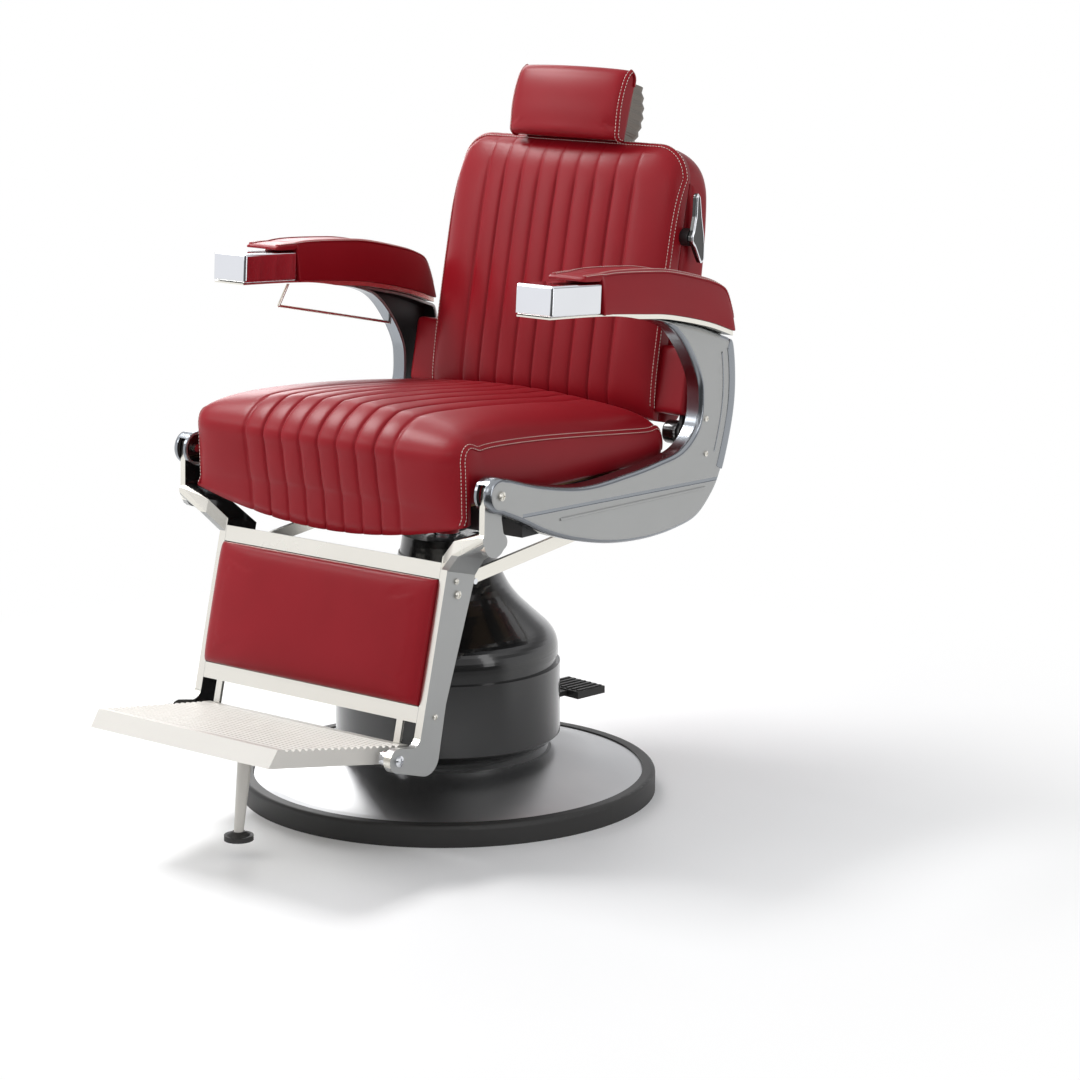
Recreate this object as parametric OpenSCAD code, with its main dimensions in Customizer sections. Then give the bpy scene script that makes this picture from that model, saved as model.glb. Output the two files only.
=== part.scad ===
// Barber chair on an electric lift base. Millimetres, +Z up, the floor is z = 0.
// The swivel axis is the Z axis, the chair faces -Y, and its left side is +X.

/* [Floor plate] */
// Outside diameter of the rubber floor rim
rim_d = 660; // [600:5:720]
// Height of the rubber rim
rim_h = 34; // [30:1:44]
// Radial thickness of the rubber rim
rim_w = 20; // [16:1:26]
// Height of the steel dome's inner edge
dome_h = 68; // [60:1:80]
// Thickness of the pressed steel dome
dome_t = 2.5; // [1.5:0.5:4]
// Thickness of the cast weight plate under the dome
weight_t = 10; // [6:1:14]

/* [Pump cover] */
// Diameter of the drum
drum_d = 356; // [330:2:380]
// Height of the straight wall of the drum
drum_h = 113; // [90:1:125]
// Height of the bell above the groove
bell_h = 192; // [170:2:210]
// Diameter of the collar at the top of the bell
collar_d = 144; // [130:2:160]
// Wall of the moulded cover
cover_t = 3.5; // [2.5:0.5:5]
// Bearing of the cover's seam, in degrees from +X
seam_turn = -77; // [-110:1:-50]

/* [Lift] */
// Diameter of the piston
piston_d = 40; // [34:1:46]
// Wall of the pump cylinder
cylinder_t = 16; // [10:1:20]
// Travel of the lift
lift_travel = 160; // [100:5:180]
// Height of the tapered spigot
spigot_h = 50; // [44:1:60]
// Diameter of the spigot at its foot
spigot_d = 33; // [28:1:36]

/* [Seat] */
// Width of the seat cushion
seat_w = 534; // [500:2:570]
// Depth of the seat cushion from nose to rear
seat_l = 490; // [470:2:500]
// Thickness of the seat board
board_t = 12; // [9:1:15]
// Number of sewn channels across the seat and the back
channels = 8; // [6:1:10]
// Pitch of the sewn channels
channel_pitch = 37.5; // [30:0.5:40]
// Depth of the seams between the channels
seam_depth = 5; // [2:0.5:7]
// Rise of the cushions' crown at the middle
crown = 18; // [8:1:22]

/* [Side frames] */
// Thickness of the cast side frame
frame_t = 30; // [28:1:36]
// Wall of the casting
frame_wall = 6; // [5:0.5:7]
// Length of the frame behind the seat
frame_tail = 114; // [104:2:124]
// Height of the frame from its belly to the arm
frame_h = 338; // [330:2:350]
// Gap between the seat's side and the frame
seat_gap = 25; // [24:1:34]

/* [Arms] */
// Width of the armrest pad
arm_w = 70; // [62:1:80]
// Length of the chrome box at the arm's front
box_l = 118; // [105:1:130]
// Height of the chrome box
box_h = 46; // [40:1:48]
// Thickness of the arm's support plate
plate_t = 7; // [5:0.5:9]

/* [Back] */
// Width of the back
back_w = 454; // [430:2:480]
// Height of the back from its hinge to its top
back_h = 444; // [420:2:470]
// Lean of the back at rest, in degrees
back_lean = 12; // [9:0.5:15]
// Thickness of the back's front cushion at its edge
back_pad_t = 38; // [32:1:44]
// Thickness of the rear half of the back
back_shell_t = 75; // [66:1:84]
// Radius of the back's top corners
back_r = 55; // [40:1:70]

/* [Headrest] */
// Width of the head pad
head_w = 216; // [190:2:240]
// Height of the head pad
head_h = 106; // [96:1:118]
// Thickness of the head pad at its ends
head_t = 30; // [24:1:34]
// Number of ribs pressed into the metal housing
head_ribs = 6; // [5:1:8]

/* [Legrest] */
// Width over the legrest's arms
leg_w = 464; // [450:2:476]
// Thickness of a legrest arm
leg_t = 13; // [11:0.5:15]
// Lean of the legrest at rest, in degrees
leg_lean = 14.4; // [12:0.1:17]
// Height of the cross bars
bar_h = 24; // [20:1:28]
// Distance between the two cross bars
calf_h = 190; // [180:1:194]
// Thickness of the calf pad
calf_t = 30; // [24:1:34]

/* [Footrest] */
// Length of the footplate ahead of its hinge
foot_l = 206; // [180:2:230]
// Height of the footplate's rim
foot_rim = 27; // [24:1:30]
// Number of tread ridges
ridges = 18; // [12:1:22]
// Tilt of the footplate at rest, in degrees
foot_tilt = 9.7; // [6:0.1:13]

/* [Hidden] */

// Clearances, overrun and facets
eps = 0.5;
fit = 0.3;
play = 1;
$fn = 64;

// Floor plate and cover
rim_r = rim_d / 2;
dome_r = rim_r - rim_w - fit;
rim_lip = 14;
rim_foot = 3;
rim_round = 7;
drum_r = drum_d / 2;
ring_in = 18;
ring_h = 12;
chamfer_h = 16;
ring_r = drum_r - ring_in;
dome_lap = 10;
dome_shelf = 4;
drum_z = dome_h + ring_h + chamfer_h;
groove_z = drum_z + drum_h;
groove_h = 13;
groove_in = 6;
bell_z = groove_z + groove_h;
cover_top = bell_z + bell_h;
collar_r = collar_d / 2;
collar_hole_r = 22;
step_in = 1.5;
step_h = 34;
clip_w = 14;
clip_h = 24;
clip_t = 3;
cover_screw_d = 9;
cover_screw_h = 3;
cover_screw_place = 34;
cover_screw_turns = [219, 122];
cap_hole_d = 12;
cap_hole_place = 46;
cap_hole_turn = 39;

// Lift
cylinder_r = piston_d / 2 + cylinder_t;
cylinder_gap = 24;
plate_top = rim_foot + weight_t;
cylinder_top = cover_top - cylinder_gap;
piston_bottom = 150;
bearing_h = 5;
shaft_d = 22;
shaft_l = 120;
spigot_top_share = 0.8;
side_hole_d = 8;
motor_d = 88;
motor_h = 150;
motor_place = 98;
flange_share = 1.35;
motor_turn = 30;
tank_w = 110;
tank_d = 70;
tank_h = 120;
tank_round = 14;
tank_turn = 210;
tank_place = 69;
inlet_w = 48;
inlet_h = 28;
inlet_t = 12;
inlet_turn = 60;
inlet_rim = 4;

// Pedal
pedal_turn = 83;
pedal_z = 112;
pedal_reach = 80;
pedal_w = 84;
pedal_l = 62;
pedal_t = 12;
pedal_rib = 2;
pedal_ribs = 7;
pedal_pin_d = 8;
bracket_w = 46;
bracket_t = 6;
pedal_gap = 22;
pedal_hinge_y = ring_r + ring_in + pedal_gap;
pedal_eye_r = 9;

// Heights that everything above the post is set from
socket_r = 32;
socket_gap = 2;
deck_rise = 106;
deck_z = cover_top + deck_rise;
deck_t = 10;

// The seat and the hinges of the legrest and the back
seat_front = -291;
seat_rear = seat_front + seat_l;
knuckle_r = 27;
knuckle_share = 0.358;
knuckle_back = 10;
frame_front = seat_front + knuckle_back;
leg_y = frame_front + knuckle_r;
leg_rise = 31;
leg_z = deck_z + leg_rise;
back_gap = 46;
back_y = seat_rear + back_gap;
back_rise = 50;
back_z = deck_z + back_rise;

// Side frames
frame_x = seat_w / 2 + seat_gap;
frame_l = seat_l + frame_tail;
frame_belly = leg_z - frame_h * knuckle_share;
slot_r = 22;
slot_w = 13;
slot_cheek = 5.5;
tongue_t = 10;
tongue_r = 20;
leg_pin_d = 12;
back_pin_d = 14;
boss_r = 24;
groove_w = 4;
groove_d = 2;
border_w = 22;
border_d = 4;
belt_h = 4;
belt_t = 1.6;
rib_t = 6;

// Under frame
hub_wall = 8;
deck_w = 370;
front_beam_back = 159;
front_beam_y = seat_front + front_beam_back;
front_beam_l = 76;
front_beam_h = 48;
rear_beam_in = 117;
rear_beam_y = seat_rear - rear_beam_in;
rear_beam_l = 64;
rear_beam_h = 14;
deck_front_in = 76;
deck_front = seat_front + deck_front_in;
deck_rear_in = 85;
deck_rear = seat_rear - deck_rear_in;
web_t = 8;

// Seat
apron_t = 34;
apron_drop = 56;
apron_side_drop = 20;
edge_rise = 97;
seat_edge_z = deck_z + edge_rise;
bumper_d = 40;
bumper_h = 40;
bumper_x = 172;
bumper_back = 93;
bumper_y = seat_front + bumper_back;
bumper_shoulder = 6;

// Arms
arm_x = frame_x + frame_t / 2;
box_back = 118;
box_front = frame_front + box_back;
arm_z_share = 1.0976;
arm_z = frame_belly + frame_h * arm_z_share;
pad_r = 12;
bar_d = 5;
bar_drop = 82;
bar_in = 24;

// Back
back_bottom = 12;
back_round = 30;
back_board_t = 12;
ear_t = 6;
ear_w = 30;
ear_gap = 12;
ear_x = frame_x - ear_gap - ear_t;
ear_drop = 121;
ear_hub_d = 36;
ear_hub_l = 24;
ear_lap = 30;
ear_arm_h = 71;
ear_arm_u = 53;
link_bar_d = 14;
lever_share = 0.6712;
lever_back = 67;
lever_y = back_y + lever_back;
lever_z = back_z + back_h * lever_share;
boss_d = 28;
boss_l = 16;
lever_t = 9;
lever_up = 64;
lever_down = 36;

// Headrest
stem_w = 44;
stem_t = 8;
guide_t = 4;
guide_h = 150;
stem_v = -22;
stem_l = 210;
stem_play = 2;
head_back = 117;
head_pivot_y = back_y + head_back;
head_rise = 18;
head_pivot_z = back_z + back_h + head_rise;
head_pin_d = 10;
pad_back = 36;
head_front = back_y + pad_back;
pad_drop = 15;
head_bottom = head_pivot_z - pad_drop;
head_lean = 17;
shell_t = 3;
shell_w = 200;
shell_depth = 58;
shell_corner = 16;
rib_wave = 1.5;
head_swell = 8;
shell_h = 92;

// Legrest, in the plane of its arms: y back from the hinge, z up from it
leg_x = leg_w / 2 - leg_t;
leg_front = 14.8;
leg_top = -100;
elbow_z = -374;
toe_y = -28;
toe_z = -404;
toe_r = 18;
heel_y = 34;
heel_z = -392;
heel_r = 29;
leg_rear_top = 80;
leg_rear_bottom = 60;
upper_bar_z = -122;
bar_t = 8;
calf_board_t = 8;
calf_gap = 1.5;
calf_swell = 8;
strut_w = 12;
strut_t = 5;
strut_l = 34.6;
strut_in = 12;
rod_w = 20;
rod_t = 6;
rod_gap = 4;
rod_x = leg_x - rod_gap - rod_t;
lug_back = 49;
lug_y = leg_y + lug_back;
lug_drop = 147;
lug_z = leg_z - lug_drop;
lug_r = 13;
link_pin_d = 9;
pin_head_t = 3;
slot_play = 6;
link_play = 2.6;
link_step = 10;

// Footrest
foot_rear = 52;
foot_top = 17;
foot_wall = 5;
foot_gap = 16;
foot_x = leg_x - foot_gap;
foot_taper = 22;
foot_nose = 14;
ridge_h = 3;
tread_in = 14;
bolt_d = 10;
spacer_r = 11;
prop_y = -76;
prop_lean = 8.5;
prop_top_r = 12;
prop_low_r = 7;
prop_l = 132;
foot_pad_d = 44;
foot_pad_h = 13;

rubber_black = [0.13, 0.13, 0.13];
plastic_black = [0.16, 0.16, 0.17];
cast_grey = [0.66, 0.67, 0.67];
nickel = [0.85, 0.84, 0.82];
chrome = [0.88, 0.89, 0.91];
red = [0.55, 0.09, 0.12];
ply = [0.62, 0.48, 0.32];

function unit(v) = v / norm(v);
function turn(p, a) = [p[0] * cos(a) - p[1] * sin(a), p[0] * sin(a) + p[1] * cos(a)];
// Points on an arc round c, from angle a to angle b in n steps
function arc(c, r, a, b, n) = [for (i = [0:n]) c + r * [cos(a + (b - a) * i / n), sin(a + (b - a) * i / n)]];
// One point of a Catmull-Rom span from b to c at t
function span(a, b, c, d, t) =
    ((2 * b) + (c - a) * t + (2 * a - 5 * b + 4 * c - d) * t * t + (3 * b - a - 3 * c + d) * t * t * t) / 2;
// A smooth open curve through the points, k steps to a span
function flow(p, k) = let(n = len(p) - 1) concat([for (i = [0:n - 1], j = [0:k - 1])
    span(p[max(i - 1, 0)], p[i], p[i + 1], p[min(i + 2, n)], j / k)], [p[n]]);
// Height of a smooth curve of points [x, y] at x, by straight interpolation
function at(p, x, i = 0) = i >= len(p) - 2 || x < p[i + 1][0]
    ? p[i][1] + (p[i + 1][1] - p[i][1]) * (x - p[i][0]) / (p[i + 1][0] - p[i][0])
    : at(p, x, i + 1);

// A profile drawn as [y, z], from x to x + t
module slab(x, t) {
    translate([x, 0, 0]) rotate([90, 0, 90]) linear_extrude(t) children();
}

// A pin along X from x to x + l
module pin_x(x, y, z, d, l) {
    translate([x, y, z]) rotate([0, 90, 0]) cylinder(d = d, h = l);
}

function backwards(p) = [for (i = [len(p) - 1:-1:0]) p[i]];

// A closed skin over rings of equal length that turn with the way they advance, capped by fans
module loft(rings) {
    n = len(rings[0]);
    m = len(rings);
    sides = [for (i = [0:m - 2], j = [0:n - 1]) let(a = i * n + j, b = i * n + (j + 1) % n)
        each [[a, a + n, b], [b, a + n, b + n]]];
    first = [for (j = [1:n - 2]) [0, j, j + 1]];
    last = [for (j = [1:n - 2]) let(o = (m - 1) * n) [o, o + j + 1, o + j]];
    polyhedron(points = [for (r = rings) each r], faces = concat(first, last, sides));
}

module both_sides() {
    children();
    mirror([1, 0, 0]) children();
}

// Floor plate

module base_rim() color(rubber_black) {
    rotate_extrude($fn = 96) union() {
        translate([rim_r - rim_w, 0]) square([rim_w - rim_round, rim_h]);
        translate([rim_r - rim_w, 0]) square([rim_w, rim_h - rim_round]);
        translate([rim_r - rim_round, rim_h - rim_round]) circle(rim_round);
        translate([rim_r - rim_w - rim_lip, 0]) square([rim_lip + eps, rim_foot]);
    }
}

// The weight plate stands on the rim's foot and on a pad at its middle
module base_plate() color(cast_grey) {
    translate([0, 0, rim_foot]) cylinder(r = dome_r - dome_t, h = weight_t, $fn = 96);
    cylinder(r = cylinder_r * 2, h = rim_foot + eps, $fn = 96);
}

// The dome rises in one shallow curve from the rim to the drum
function dome_line(drop) = [for (i = [0:12]) let(t = i / 12)
    [dome_r + (ring_r + dome_shelf - dome_r) * t,
     rim_h - rim_foot - drop + (dome_h - rim_h + rim_foot) * pow(t, 0.9)]];

module base_dome() color(nickel) {
    line = dome_line(0);
    under = dome_line(dome_t);
    rotate_extrude($fn = 96) polygon(concat(
        [[dome_r, rim_foot + weight_t], [dome_r, line[0][1]]],
        [for (i = [1:12]) line[i]],
        [[ring_r - dome_lap, dome_h], [ring_r - dome_lap, dome_h - dome_t]],
        backwards([for (i = [1:12]) under[i]]),
        [[dome_r - dome_t, under[0][1]], [dome_r - dome_t, rim_foot + weight_t]]));
}

// Pump cover

// Radius of the bell as shares of its flare, against shares of its height
bell_shares = [[0, 1], [0.08, 0.995], [0.15, 0.96], [0.22, 0.87], [0.29, 0.73], [0.37, 0.57],
    [0.46, 0.4], [0.58, 0.235], [0.74, 0.1], [0.9, 0.025], [1, 0]];

function bell(in) = [for (p = flow(bell_shares, 3))
    [collar_r + (drum_r - groove_in / 2 - collar_r) * p[1] - in, bell_z + p[0] * (bell_h - in)]];

module cover_profile() {
    outer = concat([[ring_r, dome_h], [ring_r, dome_h + ring_h], [drum_r, drum_z], [drum_r, groove_z],
        [drum_r - groove_in, groove_z], [drum_r - groove_in, bell_z]], bell(0));
    skin = bell(cover_t);
    inner = concat(backwards(skin),
        [[drum_r - groove_in - cover_t, bell_z], [drum_r - groove_in - cover_t, groove_z - cover_t],
         [drum_r - cover_t, groove_z - cover_t], [drum_r - cover_t, drum_z],
         [ring_r - cover_t, dome_h + ring_h], [ring_r - cover_t, dome_h]]);
    polygon(concat(outer, [[collar_hole_r, cover_top], [collar_hole_r, cover_top - cover_t]], inner));
}

module cover_half(a) {
    difference() {
        rotate([0, 0, a]) rotate_extrude(angle = 180, $fn = 96) cover_profile();
        rotate([0, 0, inlet_turn]) translate([drum_r, 0, drum_z + inlet_h])
            cube([drum_r / 2, inlet_w + fit, inlet_h + fit], center = true);
        rotate([0, 0, cap_hole_turn]) translate([cap_hole_place, 0, cover_top - cover_t * 2])
            cylinder(d = cap_hole_d, h = cover_t * 4);
    }
}

module cover_left() color(plastic_black) cover_half(seam_turn);

// The right half's collar is stepped in, where a hand lifts it off
module cover_right() color(plastic_black) {
    outer = [for (p = bell(-eps)) if (p[1] > cover_top - step_h) p];
    inner = [for (p = bell(step_in)) if (p[1] > cover_top - step_h) p];
    difference() {
        cover_half(seam_turn + 180);
        rotate([0, 0, seam_turn + 180]) rotate_extrude(angle = 180, $fn = 96)
            polygon(concat(outer, [[collar_r - step_in, cover_top + eps]], backwards(inner)));
    }
}

module cover_clips() color(chrome) {
    for (a = [seam_turn, seam_turn + 180]) rotate([0, 0, a])
        translate([ring_r, -clip_w / 2, dome_h + fit]) difference() {
            cube([clip_t, clip_w, ring_h]);
            translate([-eps, clip_w / 2, ring_h / 2]) rotate([0, 90, 0]) cylinder(d = clip_t, h = clip_w);
        }
}

module cover_screws() color(chrome) {
    for (a = cover_screw_turns) rotate([0, 0, a])
        translate([cover_screw_place, 0, cover_top]) intersection() {
            cylinder(d = cover_screw_d, h = cover_screw_h);
            translate([0, 0, cover_screw_h - cover_screw_d]) sphere(cover_screw_d);
        }
}

// Pump

module pump_cylinder() color(cast_grey) {
    difference() {
        union() {
            translate([0, 0, plate_top]) cylinder(r = cylinder_r, h = cylinder_top - plate_top);
            translate([0, 0, plate_top]) cylinder(r = cylinder_r * flange_share, h = weight_t);
            for (i = [0:3]) rotate([0, 0, motor_turn + 45 + 90 * i])
                translate([cylinder_r - eps, -web_t / 2, plate_top]) rotate([90, 0, 0]) mirror([0, 0, 1])
                    linear_extrude(web_t) polygon([[0, 0], [cylinder_r * 0.8, 0], [0, cylinder_r * 1.5]]);
        }
        translate([0, 0, piston_bottom - weight_t]) cylinder(r = piston_d / 2 + fit, h = cover_top);
    }
}

module pump_motor() color(plastic_black) {
    rotate([0, 0, motor_turn]) translate([motor_place, 0, plate_top]) {
        cylinder(d = motor_d, h = motor_h);
        for (i = [0:11]) rotate([0, 0, 30 * i])
            translate([motor_d / 2 - eps, -web_t / 4, weight_t])
                cube([web_t / 2, web_t / 2, motor_h - weight_t * 2]);
    }
}

module oil_tank() color(nickel) {
    rotate([0, 0, tank_turn]) translate([tank_place, 0, plate_top]) linear_extrude(tank_h) union() {
        translate([tank_round, -tank_w / 2]) square([tank_d - tank_round * 2, tank_w]);
        translate([0, tank_round - tank_w / 2]) square([tank_d, tank_w - tank_round * 2]);
        for (x = [tank_round, tank_d - tank_round], y = [-1, 1])
            translate([x, y * (tank_w / 2 - tank_round)]) circle(tank_round);
    }
}

module power_inlet() color(plastic_black) {
    rotate([0, 0, inlet_turn]) translate([drum_r - inlet_t, 0, drum_z + inlet_h]) difference() {
        translate([inlet_t / 2, 0, 0]) cube([inlet_t, inlet_w, inlet_h], center = true);
        translate([inlet_t * 0.75, 0, 0])
            cube([inlet_t, inlet_w - inlet_rim * 2, inlet_h - inlet_rim * 2], center = true);
    }
}

// The rocker pedal that runs the lift up and down

module pedal_bracket() color(plastic_black) rotate([0, 0, pedal_turn - 90]) {
    difference() {
        union() {
            translate([-bracket_w / 2, drum_r - fit, pedal_z - bracket_w / 2])
                cube([bracket_w, bracket_t + fit, bracket_w * 0.8]);
            for (s = [-1, 1]) translate([s * (bracket_w / 2 - bracket_t / 2) - bracket_t / 2, drum_r, 0]) {
                translate([0, 0, pedal_z - pedal_eye_r])
                    cube([bracket_t, pedal_hinge_y - drum_r, pedal_eye_r * 2]);
                pin_x(0, pedal_hinge_y - drum_r, pedal_z, pedal_eye_r * 2, bracket_t);
            }
        }
        cylinder(r = drum_r, h = cover_top, $fn = 96);
    }
    pin_x(-bracket_w / 2, pedal_hinge_y, pedal_z, pedal_pin_d, bracket_w);
}

module foot_pedal() color(rubber_black) rotate([0, 0, pedal_turn - 90]) {
    hub_l = bracket_w - (bracket_t + play) * 2;
    difference() {
        union() {
            pin_x(-hub_l / 2, pedal_hinge_y, pedal_z, pedal_eye_r * 2 - play, hub_l);
            translate([-hub_l / 2, pedal_hinge_y, pedal_z - pedal_t / 3])
                cube([hub_l, pedal_reach - pedal_l / 2, pedal_t * 2 / 3]);
            translate([-pedal_w / 2, pedal_hinge_y + pedal_reach - pedal_l / 2, pedal_z - pedal_t / 2])
                cube([pedal_w, pedal_l, pedal_t]);
            for (i = [0:pedal_ribs - 1])
                translate([-pedal_w / 2 + pedal_w * (i + 0.3) / pedal_ribs,
                    pedal_hinge_y + pedal_reach - pedal_l / 2 + pedal_rib * 2, pedal_z + pedal_t / 2 - eps])
                    cube([pedal_w * 0.4 / pedal_ribs, pedal_l - pedal_rib * 4, pedal_rib + eps]);
        }
        pin_x(-bracket_w / 2, pedal_hinge_y, pedal_z, pedal_pin_d + fit * 2, bracket_w);
    }
}

// Ram

module lift_piston() color(chrome) {
    difference() {
        translate([0, 0, piston_bottom]) cylinder(d = piston_d, h = cover_top - piston_bottom);
        translate([0, 0, cover_top - shaft_l - play]) cylinder(d = shaft_d + fit * 2, h = cover_top);
    }
}

module ram_spigot() color(chrome) {
    difference() {
        union() {
            translate([0, 0, cover_top - shaft_l]) cylinder(d = shaft_d, h = shaft_l + bearing_h);
            translate([0, 0, cover_top + fit]) cylinder(d = piston_d, h = bearing_h);
            translate([0, 0, cover_top + bearing_h])
                cylinder(d1 = spigot_d, d2 = spigot_d * spigot_top_share, h = spigot_h);
        }
        translate([-spigot_d, 0, cover_top + bearing_h + spigot_h * 0.7]) rotate([0, 90, 0])
            cylinder(d = side_hole_d, h = spigot_d * 2);
        translate([0, 0, cover_top + bearing_h + spigot_h - side_hole_d])
            cylinder(d = side_hole_d, h = spigot_h);
    }
}

// Under frame

module post_socket() color(cast_grey) {
    z = cover_top + bearing_h + socket_gap;
    drop = (spigot_d - spigot_d * spigot_top_share) / spigot_h;
    difference() {
        translate([0, 0, z]) cylinder(r = socket_r, h = deck_z - deck_t - z);
        translate([0, 0, z]) cylinder(d1 = spigot_d - drop * socket_gap, d2 = spigot_d * spigot_top_share,
            h = spigot_h - socket_gap);
        translate([0, 0, z - eps]) cylinder(d = spigot_d - drop * socket_gap, h = eps * 1.2);
        translate([0, 0, z + spigot_h - socket_gap - eps])
            cylinder(d = spigot_d * spigot_top_share, h = socket_gap * 2);
    }
}

module under_frame() color(plastic_black) {
    difference() {
        union() {
            translate([-deck_w / 2, deck_front, deck_z - deck_t])
                cube([deck_w, deck_rear - deck_front, deck_t]);
            difference() {
                translate([-frame_x, front_beam_y - front_beam_l / 2, deck_z - front_beam_h])
                    cube([frame_x * 2, front_beam_l, front_beam_h]);
                translate([web_t - frame_x, front_beam_y + web_t - front_beam_l / 2, 0])
                    cube([(frame_x - web_t) * 2, front_beam_l - web_t * 2, deck_z - deck_t]);
            }
            translate([-frame_x, rear_beam_y - rear_beam_l / 2, deck_z - rear_beam_h])
                cube([frame_x * 2, rear_beam_l, rear_beam_h]);
            for (s = [-1, 1])
                translate([s * (socket_r + hub_wall) - web_t / 2, front_beam_y, deck_z - front_beam_h])
                    cube([web_t, rear_beam_y - front_beam_y, front_beam_h]);
        }
        for (x = [-0.35, 0.35], y = [-0.2, 0.25]) translate([x * deck_w, y * deck_w, deck_z - deck_t * 2])
            cylinder(d = socket_r * 1.4, h = deck_t * 3);
        translate([0, 0, deck_z - deck_t - front_beam_h])
            cylinder(r = socket_r + play, h = front_beam_h);
    }
}

// Side frames

// The belly and the rear edge, from the knuckle round to the arm, as shares of length and height
rear_shares = [[0.03, 0.29], [0.127, 0.22], [0.212, 0.15], [0.296, 0.097], [0.382, 0.056],
    [0.47, 0.024], [0.56, 0.006], [0.649, 0], [0.742, 0.009], [0.836, 0.041], [0.9, 0.124],
    [0.939, 0.216], [0.973, 0.37], [0.996, 0.534], [1, 0.684], [0.989, 0.827], [0.965, 0.877]];
// The inner edge, from the arm back to the knuckle
inner_shares = [[0.5, 1.05], [0.585, 1.015], [0.66, 0.988], [0.733, 0.938], [0.79, 0.847], [0.838, 0.718],
    [0.853, 0.616], [0.842, 0.472], [0.776, 0.376], [0.675, 0.343], [0.558, 0.323],
    [0.38, 0.312], [0.21, 0.36], [0.07, 0.43]];

function frame_point(s) = [frame_front + s[0] * frame_l, frame_belly + s[1] * frame_h];

// Underside of the armrest pad, from its front to its rear, as shares of the arm
under_arm_shares = [[0, 0], [0.24, -0.022], [0.47, -0.055], [0.62, -0.082], [0.82, -0.145], [0.96, -0.21]];

function under_arm(drop) = flow([for (s = under_arm_shares)
    [box_front + s[0] * pad_end, arm_z + s[1] * frame_h - drop]], 5);
pad_end = frame_l * 0.79;

function frame_outline() = concat(
    flow([for (s = rear_shares) frame_point(s)], 4),
    [[frame_front + rear_shares[16][0] * frame_l, arm_z], [frame_front + inner_shares[0][0] * frame_l, arm_z]],
    flow([for (s = inner_shares) frame_point(s)], 4));

module frame_flat() {
    difference() {
        polygon(frame_outline());
        polygon(concat(under_arm(plate_t + fit),
            [[frame_front + frame_l * 1.1, arm_z], [frame_front, arm_z * 1.1], [box_front - eps, arm_z]]));
    }
}

module frame_above_groove() {
    polygon([[frame_front + frame_l * 0.86, frame_belly + frame_h * 0.215],
        [frame_front + frame_l * 1.1, frame_belly + frame_h * 0.185],
        [frame_front + frame_l * 1.1, frame_belly + frame_h * 0.93],
        [frame_front + frame_l * 0.86, frame_belly + frame_h * 0.93]]);
}

module side_frame() {
    out = frame_x + frame_t;
    difference() {
        union() {
            difference() {
                slab(frame_x, frame_t) frame_flat();
                slab(frame_x - eps, frame_t - frame_wall + eps) offset(delta = -frame_wall) frame_flat();
                slab(out - border_d, border_d + eps) intersection() {
                    frame_above_groove();
                    difference() {
                        offset(delta = eps) frame_flat();
                        offset(delta = -border_w) frame_flat();
                    }
                    translate([back_y + boss_r, 0]) square([frame_l, deck_z * 2]);
                }
            }
            intersection() {
                slab(frame_x, frame_t - frame_wall + eps) frame_flat();
                union() {
                    for (y = [-0.18, 0.02, 0.36]) translate([frame_x, y * frame_l - rib_t / 2, 0])
                        cube([frame_t - frame_wall, rib_t, deck_z * 1.1]);
                    translate([frame_x, front_beam_y - front_beam_l / 2, 0])
                        cube([frame_t - frame_wall, front_beam_l, deck_z]);
                    translate([frame_x, rear_beam_y - rear_beam_l / 2, 0])
                        cube([frame_t - frame_wall, rear_beam_l, deck_z]);
                }
            }
            pin_x(frame_x, leg_y, leg_z, knuckle_r * 2, frame_t);
            pin_x(frame_x, back_y, back_z, boss_r * 2, frame_t - frame_wall + eps);
            slab(out - eps, belt_t + eps) rotate([0, 0, -1])
                translate([frame_front + frame_l * 0.255, frame_belly + frame_h * 0.18])
                    square([frame_l * 0.625, belt_h]);
        }
        // The slot that takes the legrest's tongue, open to the front and below
        slab(frame_x + slot_cheek, slot_w) translate([leg_y, leg_z]) union() {
            circle(slot_r);
            rotate([0, 0, -25]) translate([-knuckle_r * 3, -slot_r * 3.2])
                square([knuckle_r * 3, slot_r * 3.2 + slot_r / 3]);
            translate([-knuckle_r, -slot_r * 3]) square([knuckle_r + slot_r * 1.9, slot_r * 2.6]);
        }
        slab(out - groove_d, groove_d + eps) rotate([0, 0, -1.8])
            translate([frame_front + frame_l * 0.13, frame_belly + frame_h * 0.222])
                square([frame_l * 0.9, groove_w]);
        pin_x(frame_x - eps, leg_y, leg_z, leg_pin_d, frame_t + eps * 2);
        pin_x(frame_x - eps, back_y, back_z, back_pin_d, frame_t - frame_wall);
    }
}

module side_frame_left() color(cast_grey) side_frame();

module side_frame_right() color(cast_grey) mirror([1, 0, 0]) side_frame();

module screw_x(x, y, z, d) {
    translate([x, y, z]) rotate([0, 90, 0]) difference() {
        intersection() {
            cylinder(d = d, h = d * 0.35);
            translate([0, 0, d * 0.35 - d]) sphere(d);
        }
        translate([-d * 0.3, -d * 0.06, d * 0.2]) cube([d * 0.6, d * 0.12, d]);
        translate([-d * 0.06, -d * 0.3, d * 0.2]) cube([d * 0.12, d * 0.6, d]);
    }
}

frame_screw_d = 9;

module frame_screws() color(nickel) both_sides() {
    out = frame_x + frame_t;
    screw_x(out, back_y, back_z + boss_r * 1.15, frame_screw_d);
    screw_x(out, back_y, back_z - boss_r * 1.15, frame_screw_d);
    screw_x(out, leg_y, leg_z, leg_pin_d + play * 2);
}

module frame_pins() color(chrome) both_sides() {
    pin_x(frame_x + play, leg_y, leg_z, leg_pin_d, frame_t - play);
    pin_x(ear_x - ear_hub_l / 2, back_y, back_z, back_pin_d - fit * 2,
        frame_x + frame_t - frame_wall - ear_x + ear_hub_l / 2 - play);
}

// Seat

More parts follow.
